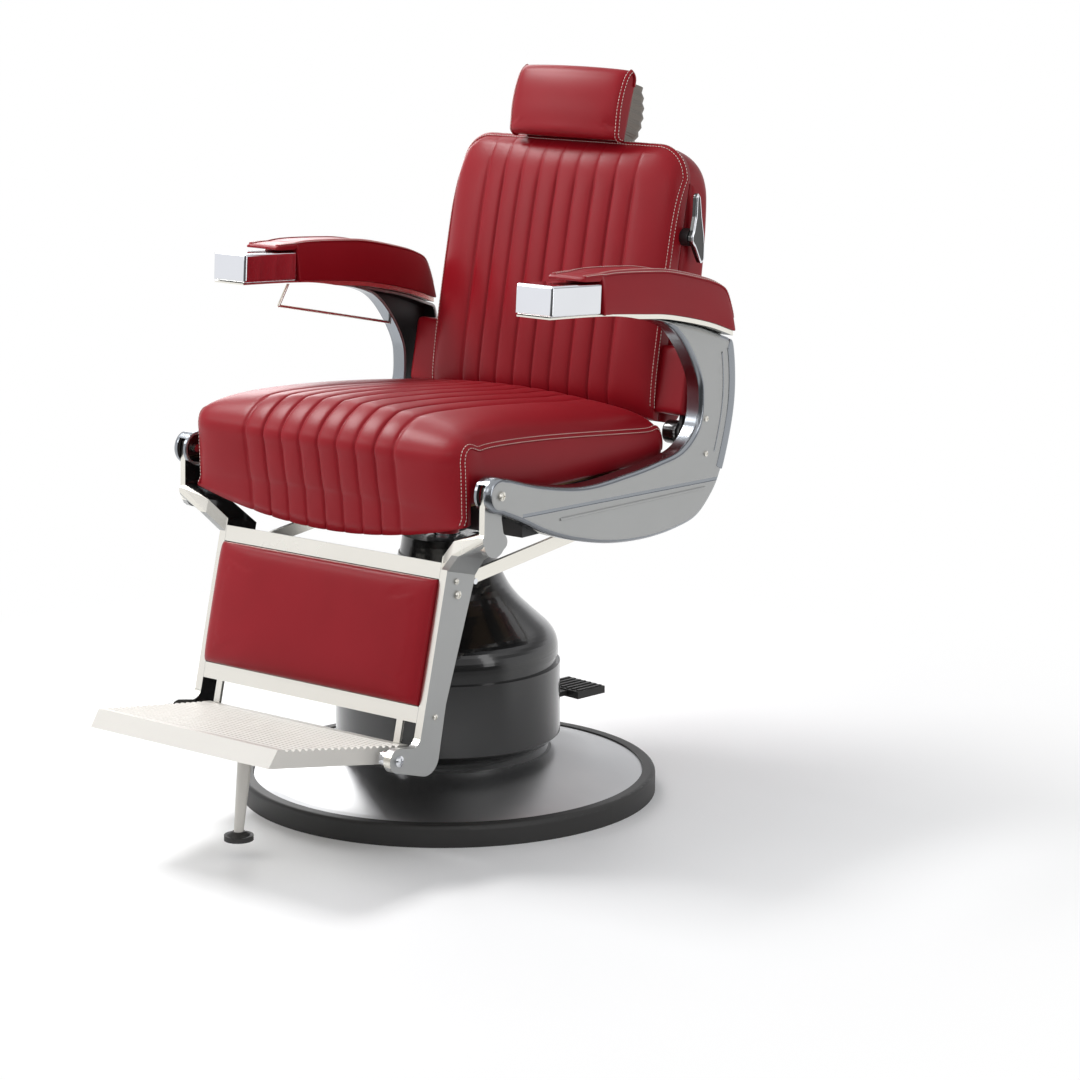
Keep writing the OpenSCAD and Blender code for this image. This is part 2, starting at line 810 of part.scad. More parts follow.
module seat_board() color(ply) {
    translate([-seat_w / 2 + back_round, seat_front + apron_t + play * 3, deck_z])
        cube([seat_w - back_round * 2, seat_l - apron_t - back_round, board_t]);
}

// Lateral stations of a channelled cushion, as [x, channel seam 0..1, edge roll 0..1]
function half_stations(half) = let(c = channels * channel_pitch / 2) concat(
    [[-half, 0, 1], [-half + (half - c) * 0.04, 0, 0.62], [-half + (half - c) * 0.14, 0, 0.25],
     [-half + (half - c) * 0.4, 0, 0.03], [-c - channel_pitch * 0.35, 0, 0]],
    [for (i = [0:channels - 1]) each [[-c + i * channel_pitch, 1, 0],
        [-c + (i + 0.14) * channel_pitch, 0.25, 0], [-c + (i + 0.5) * channel_pitch, 0, 0],
        [-c + (i + 0.86) * channel_pitch, 0.25, 0]]],
    [[c, 1, 0], [c + channel_pitch * 0.35, 0, 0], [half - (half - c) * 0.4, 0, 0.03],
     [half - (half - c) * 0.14, 0, 0.25], [half - (half - c) * 0.04, 0, 0.62], [half, 0, 1]]);

// Seat profile in [y, z], from the rear foot over the top to the apron, as shares of length and
// of the height over the board: [along, up, how much of the crown and seam it takes]
seat_h = seat_edge_z - deck_z - board_t;
seat_shares = [[1, 0.02, 0], [1.01, 0.35, 0], [0.985, 0.72, 0.4], [0.93, 0.87, 1], [0.78, 0.93, 1],
    [0.6, 1, 1], [0.42, 1.07, 1], [0.25, 1.15, 1], [0.12, 1.2, 1], [0.04, 1.13, 1], [0, 0.88, 1],
    [0.004, 0.55, 0.9], [0.012, 0.1, 0.8], [0.02, -0.2, 0.6]];

function seat_ring(x, seam, roll) = let(
    k = 1 - pow(2 * x / seat_w, 2), drop = apron_side_drop + (apron_drop - apron_side_drop) * k,
    foot = deck_z + board_t) concat(
    [for (s = seat_shares) let(w = s[2], front = max(0, 1 - s[0] * 10),
        lift = w * (crown * k - seam * seam_depth - roll * crown),
        push = w * (crown * 0.3 * k - seam * seam_depth - roll * crown * 0.8))
        [x, seat_front + s[0] * seat_l - push * front, foot + s[1] * seat_h + lift * (1 - front)]],
    [[x, seat_front + apron_t * 0.3, deck_z - drop], [x, seat_front + apron_t * 0.8, deck_z - drop],
     [x, seat_front + apron_t, deck_z - drop * 0.8], [x, seat_front + apron_t, foot]]);

module seat_cushion() color(red) {
    loft([for (s = half_stations(seat_w / 2)) seat_ring(s[0], s[1], s[2])]);
}

module seat_bumpers() color(red) both_sides() {
    translate([bumper_x, bumper_y, deck_z - deck_t - bumper_h]) union() {
        cylinder(d = bumper_d - bumper_shoulder, h = bumper_h);
        translate([0, 0, bumper_shoulder]) cylinder(d = bumper_d, h = bumper_h - bumper_shoulder * 2);
    }
}

// Arms

module plate_flat() {
    polygon(concat(under_arm(0), backwards(under_arm(plate_t))));
}

module arm_plate() {
    slab(arm_x - arm_w / 2 + pad_r, arm_w - pad_r * 2) plate_flat();
}

module arm_plate_left() color(cast_grey) arm_plate();

module arm_plate_right() color(cast_grey) mirror([1, 0, 0]) arm_plate();

box_round = 5;

// The box leans with the front of the arm
box_tilt = atan2(under_arm_shares[1][1] * frame_h, under_arm_shares[1][0] * pad_end);

module arm_box() {
    translate([arm_x - arm_w / 2, box_front, arm_z + fit]) rotate([box_tilt, 0, 0]) intersection() {
        slab(0, arm_w) rounded([box_l, box_h]);
        linear_extrude(box_h * 2) rounded([arm_w, box_l]);
        translate([0, box_l, 0]) rotate([90, 0, 0]) linear_extrude(box_l) rounded([arm_w, box_h]);
    }
}

module rounded(size) {
    translate([box_round, 0]) square([size[0] - box_round * 2, size[1]]);
    translate([0, box_round]) square([size[0], size[1] - box_round * 2]);
    for (x = [box_round, size[0] - box_round], y = [box_round, size[1] - box_round])
        translate([x, y]) circle(box_round);
}

module arm_box_left() color(chrome) arm_box();

module arm_box_right() color(chrome) mirror([1, 0, 0]) arm_box();

// Along the pad, then its top, half width and underside over the plate, as shares of the arm's width
pad_start = box_front + box_l * cos(box_tilt) - box_h * sin(box_tilt) + play;
pad_shares = [[-0.14, 0.764, 0.9, 0.707], [-0.1, 0.814, 0.97, 0.707], [0, 0.843, 1, 0.707],
    [0.012, 0.857, 1, 0.009], [0.1, 0.9, 1, 0.009], [0.3, 0.943, 1, 0.009], [0.5, 0.957, 1, 0.009],
    [0.7, 0.943, 1, 0.009], [0.82, 0.929, 1, 0.009], [0.92, 0.8, 1, 0.009], [0.98, 0.514, 0.98, 0.009],
    [1, 0.2, 0.96, 0.009]];

function pad_ring(s) = let(
    l = box_front + pad_end * 0.96 - pad_start, y = pad_start + s[0] * l, z = at(under_arm(0), y),
    low = z + s[3] * arm_w, top = z + s[1] * arm_w, half = arm_w / 2 * s[2], side = min(pad_r, (top - low) / 3))
    [[arm_x - half + side * 0.3, y, low], [arm_x + half - side * 0.3, y, low],
     [arm_x + half, y, low + side * 0.5], [arm_x + half, y, top - side],
     [arm_x + half - side * 0.25, y, top - side * 0.35], [arm_x + half - side, y, top],
     [arm_x + half * 0.3, y, top + pad_crown], [arm_x - half * 0.3, y, top + pad_crown],
     [arm_x - half + side, y, top], [arm_x - half + side * 0.25, y, top - side * 0.35],
     [arm_x - half, y, top - side], [arm_x - half, y, low + side * 0.5]];
pad_crown = 3;

module arm_pad() {
    loft(backwards([for (s = pad_shares) pad_ring(s)]));
}

module arm_pad_left() color(red) arm_pad();

module arm_pad_right() color(red) mirror([1, 0, 0]) arm_pad();

// The wire towel bar hangs under the right arm only
module rod(a, b, d) {
    v = b - a;
    translate(a) rotate([0, acos(v[2] / norm(v)), atan2(v[1], v[0])]) cylinder(d = d, h = norm(v));
}

bar_gap = 15;
bar_front = box_front + box_l + bar_gap;
bar_end_gap = 19;
bar_rear = back_y - bar_end_gap;
bend_share = 1.12;

module towel_bar() color(nickel) {
    x = -arm_x + bar_in / 8;
    top = at(under_arm(plate_t), bar_front);
    p = [[x, bar_front, top + bar_d / 2], [x, bar_front - bar_in, top - bar_drop * 0.4],
        [x, bar_rear, top - bar_drop - bar_d * 2]];
    difference() {
        union() {
            for (i = [0:1]) rod(p[i], p[i + 1], bar_d);
            translate(p[1]) sphere(d = bar_d * bend_share);
        }
        mirror([1, 0, 0]) slab(frame_x - eps, frame_t) frame_flat();
        mirror([1, 0, 0]) slab(arm_x - arm_w / 2 + pad_r, arm_w - pad_r * 2) plate_flat();
    }
}

// Back: its own plane has v forward of the hinge and u up from it

lever_v = (lever_y - back_y) * cos(back_lean) - (lever_z - back_z) * sin(back_lean);
lever_u = (lever_y - back_y) * sin(back_lean) + (lever_z - back_z) * cos(back_lean);
boss_spigot_share = 0.2;

module on_back() {
    translate([0, back_y, back_z]) rotate([-back_lean, 0, 0]) children();
}

board_v = 14;

module back_board() color(ply) on_back() {
    w = back_w - back_round * 2;
    translate([0, board_v, 0]) rotate([90, 0, 0]) linear_extrude(back_board_t) union() {
        translate([-w / 2, back_bottom + back_round / 2]) square([w, back_h - back_bottom - back_round * 2]);
    }
}

// Front skin of the back in [v, u]: shares of the pad thickness and of the height, and its softness
back_shares = [[0.1, 0.03, 0.2], [0.5, 0.035, 0.6], [0.82, 0.09, 1], [0.95, 0.2, 1], [1, 0.4, 1],
    [1, 0.6, 1], [0.97, 0.76, 1], [0.86, 0.88, 1], [0.66, 0.955, 0.8], [0.35, 0.99, 0.3], [0.05, 1, 0]];

function corner_drop(x) = let(e = abs(x) - (back_w / 2 - back_r))
    e > 0 ? back_r - sqrt(max(0, back_r * back_r - e * e)) : 0;

function back_ring(x, seam, roll) = let(
    k = 1 - pow(2 * x / back_w, 2), lower = corner_drop(x)) concat(
    [for (s = back_shares) let(swell = crown * k - seam * seam_depth - roll * crown * 0.6)
        [x, -s[0] * back_pad_t - s[2] * swell, s[1] * back_h - (s[1] > 0.5 ? lower : 0)]],
    [[x, -fit, back_h - lower - fit], [x, -fit, back_h * 0.5], [x, -fit, back_h * 0.03]]);

module back_cushion() color(red) on_back() {
    loft(backwards([for (s = half_stations(back_w / 2 - fit)) back_ring(s[0], s[1], s[2])]));
}

// The rear half, a hollow upholstered case that is thickest low down
shell_shares = [[0, 0.03], [0.6, 0.03], [0.85, 0.06], [0.96, 0.13], [1, 0.3], [1, 0.55], [0.93, 0.72],
    [0.8, 0.88], [0.68, 0.945], [0.5, 0.98], [0, 0.995]];
shell_wall = 8;

module shell_flat() {
    polygon([for (s = flow(shell_shares, 3)) [s[0] * back_shell_t, s[1] * back_h]]);
}

module shell_front_view(in) {
    w = back_w - in * 2;
    r = back_r - in;
    union() {
        translate([-w / 2, 0]) square([w, back_h - in - r]);
        translate([-w / 2 + r, 0]) square([w - r * 2, back_h - in]);
        for (s = [-1, 1]) translate([s * (w / 2 - r), back_h - in - r]) circle(r);
    }
}

module back_shell() color(red) on_back() {
    difference() {
        intersection() {
            slab(-back_w / 2, back_w) shell_flat();
            translate([0, back_shell_t + eps, 0]) rotate([90, 0, 0]) linear_extrude(back_shell_t * 2)
                shell_front_view(0);
        }
        intersection() {
            slab(-back_w / 2 + shell_wall, back_w - shell_wall * 2) polygon([
                [-eps, back_h * 0.06], [board_v + play, back_h * 0.06],
                [back_shell_t - shell_wall, back_h * 0.14],
                [back_shell_t - shell_wall, back_h * 0.55],
                [back_shell_t * 0.8 - shell_wall, back_h * 0.85], [back_shell_t * 0.5, back_h * 0.95],
                [-eps, back_h * 0.95]]);
            translate([0, back_shell_t, 0]) rotate([90, 0, 0]) linear_extrude(back_shell_t * 2)
                shell_front_view(shell_wall);
        }
        translate([-stem_w / 2 - play, -stem_v - stem_t / 2 - play, back_h * 0.9])
            cube([stem_w + play * 2, stem_t + play * 2, back_h * 0.2]);
        both_sides() translate([back_w / 2 - shell_wall * 2, board_v - play, ear_arm_u - play])
            cube([shell_wall * 3, ear_t + play * 2, ear_arm_h + play * 2]);
        pin_x(back_w / 2 - shell_wall * 2, lever_v, lever_u, boss_d * boss_spigot_share + fit * 2,
            shell_wall * 3);
    }
}

link_bar_y = back_y - link_step;
ear_start = back_w / 2 - back_round - ear_lap;

// Steel ears carry the board from the hinge pins and reach down to the link bar
module back_ears() color(nickel) both_sides() {
    difference() {
        union() {
            pin_x(ear_x, back_y, back_z, ear_w, ear_t);
            slab(ear_x, ear_t) polygon([[back_y - ear_w / 2, back_z],
                [link_bar_y - ear_w / 3, back_z - ear_drop], [link_bar_y + ear_w / 3, back_z - ear_drop],
                [back_y + ear_w / 2, back_z]]);
            pin_x(ear_x, link_bar_y, back_z - ear_drop, ear_w * 0.75, ear_t);
            on_back() translate([ear_x, board_v + ear_t - ear_w, 0])
                cube([ear_t, ear_w, ear_arm_u + ear_arm_h]);
            on_back() translate([ear_start, board_v, ear_arm_u])
                cube([ear_x + ear_t / 2 - ear_start, ear_t, ear_arm_h]);
            pin_x(ear_x - ear_hub_l, back_y, back_z, ear_hub_d, ear_hub_l + eps);
        }
        pin_x(ear_x - ear_hub_l / 2, back_y, back_z, back_pin_d, ear_t + ear_hub_l);
        pin_x(ear_x - eps, link_bar_y, back_z - ear_drop, link_bar_d, ear_t + eps * 2);
    }
}

module back_link_bar() color(nickel) {
    pin_x(-ear_x - ear_t / 2, link_bar_y, back_z - ear_drop, link_bar_d, ear_x * 2 + ear_t);
}

// The recline lever on the left side of the back

module lever_boss() color(plastic_black) {
    pin_x(back_w / 2 - shell_wall, lever_y, lever_z, boss_d * boss_spigot_share, shell_wall * 2);
    pin_x(back_w / 2, lever_y, lever_z, boss_d, boss_l);
    pin_x(back_w / 2 + boss_l - eps, lever_y, lever_z, boss_d * 0.3 - fit * 2, lever_t / 2 + eps);
}

module recline_lever() color(chrome) {
    x = back_w / 2 + boss_l + fit;
    difference() {
        translate([x, lever_y, lever_z]) rotate([back_lean / 2, 0, 0]) {
            hull() {
                pin_x(0, 0, 0, boss_d * 0.9, lever_t, $fn = 32);
                pin_x(0, boss_d * 0.4, lever_up, boss_d * 0.38, lever_t * 0.8, $fn = 32);
            }
            hull() {
                pin_x(0, boss_d * 0.2, 0, boss_d, lever_t, $fn = 32);
                pin_x(0, boss_d * 0.4, -lever_down, boss_d * 0.45, lever_t * 0.8, $fn = 32);
            }
        }
        pin_x(x - eps, lever_y, lever_z, boss_d * 0.3, lever_t * 0.6);
    }
}

// Headrest

module headrest_guide() color(nickel) on_back() {
    u = back_h - guide_h - back_round;
    translate([-stem_w / 2 - guide_t, -stem_v - stem_t / 2 - guide_t, u]) difference() {
        cube([stem_w + guide_t * 2, stem_t + guide_t * 2, guide_h]);
        translate([guide_t - fit, guide_t - fit, -eps])
            cube([stem_w + fit * 2, stem_t + fit * 2, guide_h + eps * 2]);
    }
}

module headrest_stem() color(chrome) {
    u = (head_pivot_y - back_y) * sin(back_lean) + (head_pivot_z - back_z) * cos(back_lean);
    difference() {
        union() {
            on_back() translate([-stem_w / 2, -stem_v - stem_t / 2, u - stem_l]) cube([stem_w, stem_t, stem_l]);
            pin_x(-stem_w / 2 - play, head_pivot_y, head_pivot_z, head_pin_d * 2, stem_w + play * 2);
        }
        pin_x(-stem_w, head_pivot_y, head_pivot_z, head_pin_d + fit * 2, stem_w * 2);
    }
}

module headrest_hinge() color(nickel) {
    pin_x(-shell_w / 2 + shell_t * 3, head_pivot_y, head_pivot_z, head_pin_d, shell_w - shell_t * 6);
}

// Stations across a plain pad, as [share of its half width, edge roll 0..1]
pad_stations = [[-1, 1], [-0.985, 0.5], [-0.93, 0.12], [-0.7, 0], [-0.35, 0], [0, 0], [0.35, 0],
    [0.7, 0], [0.93, 0.12], [0.985, 0.5], [1, 1]];

head_shares = [[0.5, 0.01], [0.12, 0.05], [0, 0.2], [-0.12, 0.4], [-0.14, 0.6], [-0.06, 0.8], [0.1, 0.95],
    [0.35, 1.02], [0.7, 1.01], [0.95, 0.93], [1, 0.7], [1, 0.3], [0.92, 0.03]];

function head_ring(x, roll) = let(k = 1 - pow(2 * x / head_w, 2), swell = head_swell * (k - roll * 0.75))
    [for (p = head_shares) let(soft = p[0] < 0.3 ? 1 : 0,
        q = turn([p[0] * head_t - soft * swell, p[1] * head_h + (p[1] > 0.9 ? soft * swell / 4 : 0)],
            -head_lean)) [x, head_front + q[0], head_bottom + q[1]]];

module on_head() {
    translate([0, head_front, head_bottom]) rotate([-head_lean, 0, 0]) children();
}

module headrest_pad() color(red) {
    loft(backwards([for (s = pad_stations) head_ring(s[0] * head_w / 2, s[1])]));
}

// The ribbed housing behind the pad: a plan outline stacked along the pad's back, waved in and out
function shell_plan(u, in) = let(
    wave = rib_wave * cos(360 * head_ribs * u), half = shell_w / 2 - in, r = shell_corner + wave,
    depth = shell_depth * (0.72 + 0.28 * sin(180 * min(1, u * 0.9 + 0.1))) - in - shell_corner) concat(
    [[-half, in > 0 ? -fit : 0], [half, in > 0 ? -fit : 0]],
    arc([half - shell_corner, depth], r, 0, 90, 4), arc([shell_corner - half, depth], r, 90, 180, 4));

function shell_ring(u, in, z) = [for (p = shell_plan(u, in))
    let(q = turn([head_t + fit + p[1], z], -head_lean)) [p[0], head_front + q[0], head_bottom + q[1]]];

module headrest_shell() color(nickel) {
    n = head_ribs * 4;
    low = head_t * 0.2;
    difference() {
        loft([for (i = [0:n]) shell_ring(i / n, 0, low + shell_h * i / n)]);
        difference() {
            loft([for (i = [-1:n - 1]) shell_ring(max(0, i) / n, shell_t, low + shell_h * i / n)]);
            both_sides()
                pin_x(shell_w / 2 - shell_t * 4, head_pivot_y, head_pivot_z, head_pin_d * 2, shell_t * 4);
        }
        pin_x(shell_t * 3 - shell_w / 2, head_pivot_y, head_pivot_z, head_pin_d, shell_w - shell_t * 6);
        on_head() translate([-stem_w / 2 - stem_play, head_t + shell_depth / 2, low - head_t])
            cube([stem_w + stem_play * 2, shell_depth, head_t * 2]);
    }
}

// Legrest

module on_leg() {
    translate([0, leg_y, leg_z]) rotate([-leg_lean, 0, 0]) children();
}

module leg_flat() {
    polygon(concat(
        [[leg_front, leg_top], [leg_front, elbow_z + heel_r * 0.25]],
        arc([leg_front - toe_r, elbow_z + heel_r * 0.25], toe_r, 0, -80, 6),
        arc([toe_y, toe_z], toe_r, 100, 270, 10),
        arc([heel_y, heel_z - toe_r + heel_r * 0.5], heel_r, -90, -5, 8),
        [[leg_rear_bottom, elbow_z + heel_r * 2], [leg_rear_top, leg_top - heel_r], [leg_rear_top, leg_top]]));
}

tongue_x = frame_x + slot_cheek + (slot_w - tongue_t) / 2;

module jog_flat() {
    translate([-leg_t * 0.23, leg_top + leg_t * 0.3]) square([leg_rear_top * 0.74, leg_t * 1.6]);
}

module legrest_arm() {
    rim = leg_t * 0.3;
    difference() {
        union() {
            on_leg() slab(leg_x, leg_t) leg_flat();
            on_leg() hull() {
                slab(leg_x, leg_t) translate([leg_front + play, leg_top - leg_t * 1.6])
                    square([leg_rear_top - leg_front - play, leg_t * 1.6]);
                slab(leg_x + leg_t * 2.4, leg_t) jog_flat();
            }
            on_leg() hull() {
                slab(leg_x + leg_t * 2.4, leg_t) jog_flat();
                slab(tongue_x, tongue_t) translate([leg_front * 1.27, leg_top * 0.66])
                    scale([1.75, 1]) circle(leg_t * 1.25, $fn = 32);
            }
            on_leg() slab(tongue_x, tongue_t) polygon(concat(
                arc([0, 0], tongue_r, 20, 160, 12), [[-tongue_r * 0.8, -tongue_r * 1.2]],
                arc([leg_front * 1.27, leg_top * 0.66], leg_t * 1.9, 190, 350, 10),
                [[tongue_r * 1.25, -tongue_r * 1.6]]));
        }
        on_leg() slab(leg_x - eps, leg_t - rim + eps) union() {
            translate([leg_front + rim * 1.5, elbow_z + heel_r])
                square([leg_rear_bottom - leg_front - rim * 3, (upper_bar_z - bar_h * 3) - elbow_z - heel_r]);
        }
        pin_x(frame_x, leg_y, leg_z, leg_pin_d + fit * 2, frame_t);
        pin_x(leg_x - eps, lug_y, lug_z, link_pin_d, leg_t + eps * 2);
        on_leg() pin_x(leg_x - eps, toe_y, toe_z, bolt_d, leg_t + eps * 2);
    }
}

module legrest_arm_left() color(cast_grey) legrest_arm();

module legrest_arm_right() color(cast_grey) mirror([1, 0, 0]) legrest_arm();

module cross_bar(z) {
    on_leg() difference() {
        translate([-leg_x + fit, leg_front, z - bar_h / 2]) cube([(leg_x - fit) * 2, bar_t * 2, bar_h]);
        translate([-leg_x - eps, leg_front + bar_t / 2, z - bar_h / 2 + bar_t / 2])
            cube([(leg_x + eps) * 2, bar_t * 2, bar_h - bar_t]);
    }
}

lower_bar_z = upper_bar_z - calf_h - bar_h;

module legrest_upper_bar() color(nickel) cross_bar(upper_bar_z);

module legrest_lower_bar() color(nickel) cross_bar(lower_bar_z);

module legrest_screws() color(nickel) both_sides() on_leg() {
    x = leg_x + leg_t;
    screw_x(x, leg_front + bar_h, upper_bar_z - bar_h / 2, frame_screw_d);
    screw_x(x, leg_front + bar_h * 1.3, upper_bar_z - bar_h * 1.3, frame_screw_d * 1.4);
    screw_x(x, leg_front + bar_h, lower_bar_z, frame_screw_d);
}

// Short straps from the lower bar stop the footplate's rear edge
module legrest_struts() color(nickel) both_sides() on_leg() {
    translate([foot_x - strut_in - strut_w, leg_front + bar_t / 4, lower_bar_z - bar_h / 2 - strut_l])
        cube([strut_w, strut_t, strut_l]);
}

module calf_board() color(plastic_black) on_leg() {
    translate([-leg_x + calf_gap * 2, leg_front + bar_t * 2 - calf_board_t, lower_bar_z + bar_h / 2 + fit])
        cube([(leg_x - calf_gap * 2) * 2, calf_board_t, calf_h - fit * 2]);
}

calf_shares = [[0, 0], [0.6, 0], [0.85, 0.03], [0.97, 0.12], [1, 0.5], [0.97, 0.88], [0.85, 0.97], [0.6, 1],
    [0, 1]];

function calf_ring(x, roll) = let(k = 1 - pow(x / (leg_x - calf_gap), 2), h = calf_h - calf_gap * 2,
    z0 = lower_bar_z + bar_h / 2 + calf_gap, back = leg_front + bar_t * 2 - calf_board_t - fit)
    [for (p = calf_shares) [x, back - p[0] * (calf_t + calf_swell * (k - 1 - roll)), z0 + p[1] * h]];

module calf_pad() color(red) on_leg() {
    loft(backwards([for (s = pad_stations) calf_ring(s[0] * (leg_x - calf_gap), s[1])]));
}

// Flat rods tie the back's link bar to the legrest, and the rear eye is slotted

module link_rods() color(nickel) both_sides() {
    a = [lug_y, lug_z];
    b = [link_bar_y, back_z - ear_drop];
    tilt = atan2(b[1] - a[1], b[0] - a[0]);
    l = norm(b - a);
    slab(rod_x, rod_t) translate(a) rotate([0, 0, tilt]) difference() {
        union() {
            translate([0, -rod_w / 2]) square([l, rod_w]);
            circle(lug_r);
            translate([l - slot_play, -link_bar_d]) square([slot_play * 2, link_bar_d * 2]);
            for (s = [-1, 1]) translate([l + s * slot_play, 0]) circle(link_bar_d);
        }
        circle(d = link_pin_d + fit * 2);
        translate([l - slot_play, -link_bar_d / 2 - link_play])
            square([slot_play * 2, link_bar_d + link_play * 2]);
        for (s = [-1, 1]) translate([l + s * slot_play, 0]) circle(d = link_bar_d + link_play * 2);
    }
}

module link_pins() color(chrome) both_sides() {
    pin_x(rod_x - pin_head_t, lug_y, lug_z, link_pin_d, leg_x + leg_t - rod_x + pin_head_t);
    pin_x(rod_x - pin_head_t - fit, lug_y, lug_z, link_pin_d * 1.6, pin_head_t);
}

// Footrest, in its own plane at the toe bolts

module on_foot() {
    on_leg() translate([0, toe_y, toe_z]) rotate([leg_lean - foot_tilt, 0, 0]) children();
}

function foot_plan(in) = let(front = in > 0 ? in / 2 - foot_l : -foot_l - foot_nose)
    [[-foot_x + in, foot_rear - in], [foot_taper - foot_x + in, front], [foot_x - foot_taper - in, front],
     [foot_x - in, foot_rear - in]];

module footrest_platform() color(nickel) on_foot() {
    low = foot_top - foot_rim;
    pitch = (foot_l + foot_rear - tread_in * 2) / ridges;
    difference() {
        intersection() {
            slab(-foot_x, foot_x * 2) polygon([[foot_rear, low], [foot_rear, foot_top], [-foot_l, foot_top],
                [-foot_l - foot_nose, low]]);
            translate([0, 0, low - eps]) linear_extrude(foot_rim * 2) polygon(foot_plan(0));
        }
        translate([0, 0, low - eps]) linear_extrude(foot_rim - foot_wall - ridge_h + eps) difference() {
            polygon(foot_plan(foot_wall * 2));
            for (s = [-1, 0, 1]) translate([s * foot_x * 0.5 - rib_t / 2, -foot_l]) square([rib_t, foot_l * 2]);
            translate([-foot_x, -foot_l / 2]) square([foot_x * 2, rib_t]);
            translate([0, prop_y]) circle(prop_top_r * 1.8);
            translate([-foot_x, -bolt_d * 1.5]) square([foot_x * 2, bolt_d * 3]);
        }
        intersection() {
            slab(-foot_x - eps, foot_x * 2 + eps * 2) polygon(concat(
                [[foot_rear - tread_in, foot_top + eps], [tread_in - foot_l, foot_top + eps]],
                [for (i = [0:ridges - 1]) let(y = tread_in - foot_l + i * pitch)
                    each [[y + pitch * 0.1, foot_top - ridge_h], [y + pitch * 0.4, foot_top - ridge_h],
                        [y + pitch * 0.55, foot_top], [y + pitch * 0.95, foot_top]]]));
            translate([0, 0, low]) linear_extrude(foot_rim * 2) polygon(foot_plan(0));
        }
        pin_x(-foot_x - eps, 0, 0, bolt_d + fit * 2, foot_x * 2 + eps * 2);
        translate([0, prop_y, low - eps]) cylinder(d = bolt_d, h = foot_rim - foot_wall - ridge_h + eps);
    }
}

module footrest_bolts() color(chrome) both_sides() on_foot() {
    pin_x(foot_x - foot_rim * 2, 0, 0, bolt_d, leg_x + leg_t - foot_x + foot_rim * 2);
    difference() {
        pin_x(foot_x + fit, 0, 0, spacer_r * 2, leg_x - foot_x - fit * 2);
        pin_x(foot_x, 0, 0, bolt_d, leg_x - foot_x);
    }
    screw_x(leg_x + leg_t, 0, 0, bolt_d * 1.7);
}

module on_prop() {
    on_foot() translate([0, prop_y, foot_top - foot_rim]) rotate([foot_tilt - prop_lean, 0, 0]) children();
}

module prop_leg() color(nickel) {
    difference() {
        on_prop() translate([0, 0, -prop_l - prop_low_r])
            cylinder(r1 = prop_low_r, r2 = prop_top_r, h = prop_l + prop_low_r * 2);
        on_foot() translate([-prop_top_r * 2, prop_y - prop_top_r * 2, foot_top - foot_rim])
            cube([prop_top_r * 4, prop_top_r * 4, prop_top_r * 2]);
        on_prop() translate([0, 0, -prop_l]) rotate([prop_lean, 0, 0]) translate([0, 0, -prop_top_r * 2])
            cylinder(r = prop_top_r, h = prop_top_r * 2);
    }
    on_foot() translate([0, prop_y, foot_top - foot_rim - prop_top_r / 2])
        cylinder(d = bolt_d - fit * 2, h = prop_top_r / 2 + foot_rim / 2);
}

// The foot hangs a little over the floor and stands level
module prop_foot() color(rubber_black) {
    on_prop() translate([0, 0, -prop_l]) rotate([prop_lean, 0, 0]) translate([0, 0, -foot_pad_h]) {
        cylinder(d = foot_pad_d, h = foot_pad_h * 0.6);
        translate([0, 0, foot_pad_h * 0.6])
            cylinder(d1 = foot_pad_d * 0.8, d2 = foot_pad_d * 0.45, h = foot_pad_h * 0.4);
    }
}

base_rim();
base_plate();
base_dome();
cover_left();
cover_right();
cover_clips();
cover_screws();
pump_cylinder();
pump_motor();
oil_tank();
power_inlet();
pedal_bracket();
foot_pedal();
lift_piston();
ram_spigot();
post_socket();
under_frame();
side_frame_left();
side_frame_right();
frame_screws();
frame_pins();
seat_board();
seat_cushion();
seat_bumpers();
arm_plate_left();
arm_plate_right();
arm_box_left();
arm_box_right();
arm_pad_left();
arm_pad_right();
towel_bar();
back_board();
back_cushion();
back_shell();
back_ears();
back_link_bar();
lever_boss();
recline_lever();
headrest_guide();
headrest_stem();
headrest_hinge();
headrest_pad();
headrest_shell();
legrest_arm_left();
legrest_arm_right();
legrest_upper_bar();
legrest_lower_bar();
legrest_screws();
legrest_struts();
calf_board();
calf_pad();
link_rods();
link_pins();
footrest_platform();
footrest_bolts();
prop_leg();
prop_foot();
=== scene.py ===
"""Barber chair: cushions, castings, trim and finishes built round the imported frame."""

import math

import bmesh
import bpy
import numpy as np
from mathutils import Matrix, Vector


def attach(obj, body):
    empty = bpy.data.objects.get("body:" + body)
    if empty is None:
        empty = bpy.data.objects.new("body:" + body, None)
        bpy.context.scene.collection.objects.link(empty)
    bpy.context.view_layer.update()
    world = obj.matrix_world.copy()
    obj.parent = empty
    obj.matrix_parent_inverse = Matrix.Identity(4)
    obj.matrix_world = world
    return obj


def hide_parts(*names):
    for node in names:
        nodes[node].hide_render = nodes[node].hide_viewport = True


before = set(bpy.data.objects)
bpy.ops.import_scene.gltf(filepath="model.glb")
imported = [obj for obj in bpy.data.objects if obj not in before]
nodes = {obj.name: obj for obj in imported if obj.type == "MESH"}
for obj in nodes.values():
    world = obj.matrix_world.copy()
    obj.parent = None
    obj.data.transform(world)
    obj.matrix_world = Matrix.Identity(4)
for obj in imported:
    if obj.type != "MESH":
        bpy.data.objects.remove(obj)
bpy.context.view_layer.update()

# Room, lights and camera
# A pale studio sweep lit by five softboxes, the key high on the chair's right and the others for
# the castings' edges. A dark doorway behind the camera is there for polished metal to mirror.

scene = bpy.context.scene
scene.view_settings.view_transform = "Standard"

CAMERA_PLACE = (3.28034, -3.81843, 1.46572)
CAMERA_AZIMUTH = math.radians(39.0)
CAMERA_RISE = math.radians(11.936)
CAMERA_LENS = 109.102
CAMERA_SENSOR = 36

